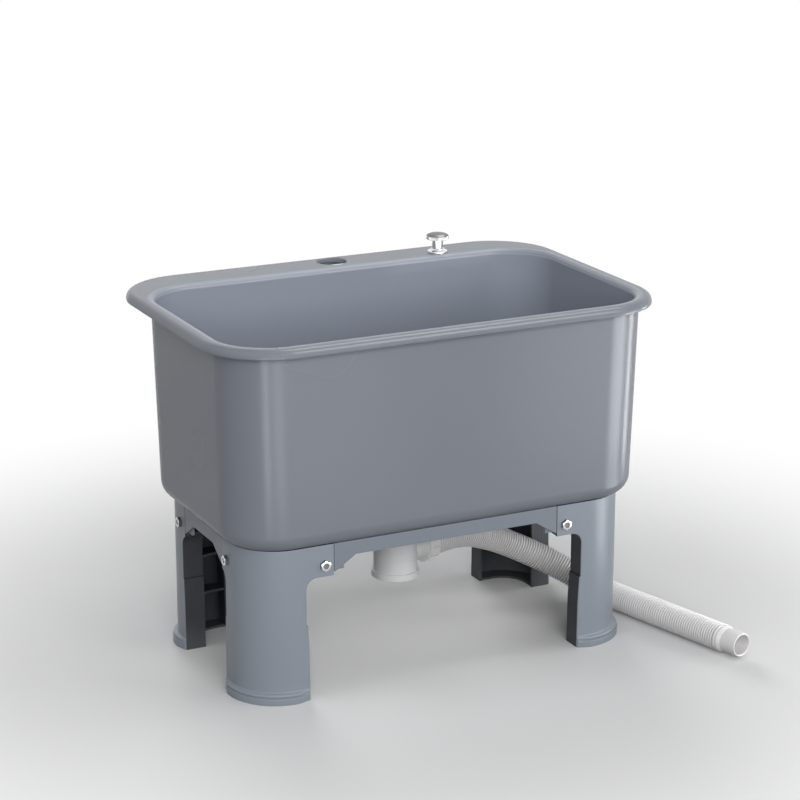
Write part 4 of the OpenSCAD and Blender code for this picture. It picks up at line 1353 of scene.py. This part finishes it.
# Soft boxes that light the surfaces and show in no gloss: name, place and watts
BOX_SIZE = (2.2, 2.2)
TUB_MIDDLE = (0, 0, 0.25)
SOFT_BOXES = (
    ("key", (-1.61, -4.42, 1.96), 114.0),
    ("front", (0.41, -4.68, 1.96), 52.0),
    ("front_left", (-3.60, -3.02, 1.96), 15.0),
    ("front_right", (3.72, -3.12, 1.46), 38.0),
    ("right", (4.74, -0.42, 1.80), 52.0),
    ("left", (-2.87, 0.0, 4.35), 27.0),
    ("top", (0.0, -0.18, 5.25), 34.0),
    ("back", (0.90, 4.78, 1.46), 160.0),
)

# Cards that show in the glosses alone: name, place, size, watts and what each faces
LEFT_CORNER = (-0.235, -0.15, 0.19)
RIGHT_CORNER = (0.215, -0.13, 0.20)
RIM_MIDDLE = (0, 0, 0.37)
CARDS = (
    ("left_strip", (-0.400, -0.486, 0.19), (0.06, 0.30), 0.45, LEFT_CORNER),
    ("middle_strip", (-0.235, -0.530, 0.19), (0.15, 0.30), 0.5, LEFT_CORNER),
    ("wide_strip", (-0.020, -0.520, 0.19), (0.26, 0.30), 0.30, (-0.10, -0.15, 0.19)),
    ("right_wide", (0.385, -0.490, 0.20), (0.22, 0.30), 0.4, RIGHT_CORNER),
    ("right_strip", (0.530, -0.376, 0.20), (0.23, 0.30), 2.1, RIGHT_CORNER),
    ("edge_strip", (0.615, -0.130, 0.20), (0.07, 0.30), 0.7, RIGHT_CORNER),
    ("leg_strip", (0.397, -0.268, 0.05), (0.15, 0.08), 0.26, (0.235, -0.15, 0.05)),
    ("front_gloss", (1.26, -2.10, 2.10), (1.2, 1.2), 40.0, RIM_MIDDLE),
    ("roll_gloss", (1.05, 0.50, 2.65), (1.2, 1.2), 30.0, RIM_MIDDLE),
    ("knob_card", (0.122, 0.103, 0.376), (0.13, 0.03), 0.015, (0.125, 0.132, 0.382)),
)

# How far from the middle the floor turns white, where it is seen and in a gloss, and
# how dark it is there before it does
WHITE_SEEN = (0.28, 0.85)
WHITE_MIRRORED = (0.9, 2.6)
FLOOR_SEEN = 0.35
# The soft light from all round
SKY_COLOUR = (0.96, 0.98, 1.0, 1)
SKY_STRENGTH = 0.10
WHITE = (1, 1, 1, 1)
# Width of the camera's film, in millimetres
FILM_WIDTH = 36


def face(thing, target):
    """Turns a camera or a lamp towards a point."""
    thing.rotation_euler = (Vector(target) - thing.location).to_track_quat(
        "-Z", "Y").to_euler()


def make_camera(stage):
    """The camera at the photograph's place."""
    data = bpy.data.cameras.new("camera")
    data.lens = stage.lens
    data.sensor_width = FILM_WIDTH
    camera = linked("camera", data)
    camera.location = stage.camera
    face(camera, stage.target)
    bpy.context.scene.camera = camera


def make_floor(stage, base):
    """A pale floor that runs out into the white around the sink."""
    half = stage.floor_size / 2
    mesh = bpy.data.meshes.new("floor")
    mesh.from_pydata([(-half, -half, 0), (half, -half, 0), (half, half, 0), (-half, half, 0)],
                     [], [(0, 1, 2, 3)])
    floor = linked("floor", mesh)
    finish = Finish("pale_floor", base, 0.6, Specular_IOR_Level=0.0)
    camera, gloss = finish.rays()
    finish.put("Base Color", finish.mix(camera | gloss, finish.shade(FLOOR_SEEN), (*base, 1)))
    place = finish.node("ShaderNodeVectorMath", {"operation": "LENGTH"},
                        {0: finish.place}, "Value")
    white = finish.node("ShaderNodeEmission", None, {"Color": WHITE, "Strength": 1.0})
    joined = finish.node("ShaderNodeMixShader", None, {
        0: place.band(*WHITE_SEEN) * camera | place.band(*WHITE_MIRRORED) * gloss,
        1: Signal(finish, finish.shader.outputs[0]), 2: white})
    output = next(n for n in finish.tree.nodes if n.type == "OUTPUT_MATERIAL")
    finish.tree.links.new(joined.socket, output.inputs[0])
    mesh.materials.append(finish.material)


def make_world():
    """Soft light from all round, and white where the camera or a gloss sees past."""
    world = bpy.data.worlds.new("studio")
    bpy.context.scene.world = world
    world.use_nodes = True
    nodes = Nodes(world.node_tree)
    nodes.tree.nodes.clear()
    light = nodes.node("ShaderNodeBackground", None,
                       {"Color": SKY_COLOUR, "Strength": SKY_STRENGTH})
    white = nodes.node("ShaderNodeBackground", None, {"Color": WHITE, "Strength": 1.0})
    camera, gloss = nodes.rays()
    joined = nodes.node("ShaderNodeMixShader", None, {0: camera | gloss, 1: light, 2: white})
    output = nodes.tree.nodes.new("ShaderNodeOutputWorld")
    nodes.tree.links.new(joined.socket, output.inputs[0])


def make_lamp(name, place, size, watts, target):
    """A glowing rectangle that faces a point and is unseen by the camera."""
    data = bpy.data.lights.new(name, "AREA")
    data.shape = "RECTANGLE"
    data.size, data.size_y = size
    data.energy = watts
    lamp = linked(name, data)
    lamp.visible_camera = False
    lamp.location = place
    face(lamp, target)
    return lamp


def make_lights():
    """Soft boxes for the surfaces and cards for the glosses, at a plain level."""
    for name, place, watts in SOFT_BOXES:
        make_lamp(name, place, BOX_SIZE, watts, TUB_MIDDLE).visible_glossy = False
    for card in CARDS:
        make_lamp(*card).visible_diffuse = False


# Operators --------------------------------------------------------------------

class MOPSINK_OT_stage(bpy.types.Operator):
    """Places the camera, the floor and the lights"""

    bl_idname = "mopsink.stage"
    bl_label = "Stage"

    def execute(self, context):
        settings = context.scene.mop_sink
        context.scene.view_settings.view_transform = "Standard"
        make_camera(settings.stage)
        make_floor(settings.stage, settings.colours.floor)
        make_world()
        make_lights()
        return {"FINISHED"}


class MOPSINK_OT_hose(bpy.types.Operator):
    """Builds the ribbed hose and its connector"""

    bl_idname = "mopsink.hose"
    bl_label = "Hose"

    def execute(self, context):
        make_hose(context.scene.mop_sink)
        return {"FINISHED"}


class MOPSINK_OT_tub(bpy.types.Operator):
    """Builds the moulded tub"""

    bl_idname = "mopsink.tub"
    bl_label = "Tub"

    def execute(self, context):
        make_tub(context.scene.mop_sink)
        return {"FINISHED"}


class MOPSINK_OT_legs(bpy.types.Operator):
    """Builds the stand's four legs"""

    bl_idname = "mopsink.legs"
    bl_label = "Legs"

    def execute(self, context):
        make_legs(context.scene.mop_sink)
        return {"FINISHED"}


class MOPSINK_OT_fasteners(bpy.types.Operator):
    """Builds the stand's bolts, washers and nuts"""

    bl_idname = "mopsink.fasteners"
    bl_label = "Fasteners"

    def execute(self, context):
        make_fasteners(context.scene.mop_sink)
        return {"FINISHED"}


class MOPSINK_OT_knob(bpy.types.Operator):
    """Builds the lift knob"""

    bl_idname = "mopsink.knob"
    bl_label = "Knob"

    def execute(self, context):
        make_knob(context.scene.mop_sink)
        return {"FINISHED"}


class MOPSINK_OT_kept(bpy.types.Operator):
    """Finishes the aprons and the drain's pieces"""

    bl_idname = "mopsink.kept"
    bl_label = "Aprons and drain"

    def execute(self, context):
        finish_kept()
        return {"FINISHED"}


OPERATORS = (MOPSINK_OT_stage, MOPSINK_OT_hose, MOPSINK_OT_tub, MOPSINK_OT_legs,
             MOPSINK_OT_fasteners, MOPSINK_OT_knob, MOPSINK_OT_kept)


class MOPSINK_PT_sidebar(bpy.types.Panel):
    """Lists the sink's pieces and sizes"""

    bl_idname = "MOPSINK_PT_sidebar"
    bl_label = "Mop Sink"
    bl_space_type = "VIEW_3D"
    bl_region_type = "UI"
    bl_category = "Mop Sink"

    def draw(self, context):
        settings = context.scene.mop_sink
        for operator in OPERATORS:
            self.layout.operator(operator.bl_idname)
        for group in (settings.tub, settings.stand, settings.drain, settings.colours,
                      settings.stage):
            box = self.layout.box()
            for name in group.__annotations__:
                box.prop(group, name)


CLASSES = (TubSizes, StandSizes, DrainSizes, FinishColours, StageSizes, MopSinkSettings,
           *OPERATORS, MOPSINK_PT_sidebar)


def register():
    """Adds the classes and the scene's settings."""
    for made in CLASSES:
        bpy.utils.register_class(made)
    bpy.types.Scene.mop_sink = PointerProperty(type=MopSinkSettings, name="Mop sink",
                                               description="Sizes, colours and stage")


def unregister():
    """Takes the classes and the settings away again."""
    del bpy.types.Scene.mop_sink
    for made in reversed(CLASSES):
        bpy.utils.unregister_class(made)


def main():
    """Builds the whole sink."""
    register()
    bpy.ops.mopsink.stage()
    bpy.ops.mopsink.hose()
    bpy.ops.mopsink.tub()
    bpy.ops.mopsink.legs()
    bpy.ops.mopsink.fasteners()
    bpy.ops.mopsink.knob()
    bpy.ops.mopsink.kept()


if __name__ == "__main__":
    main()
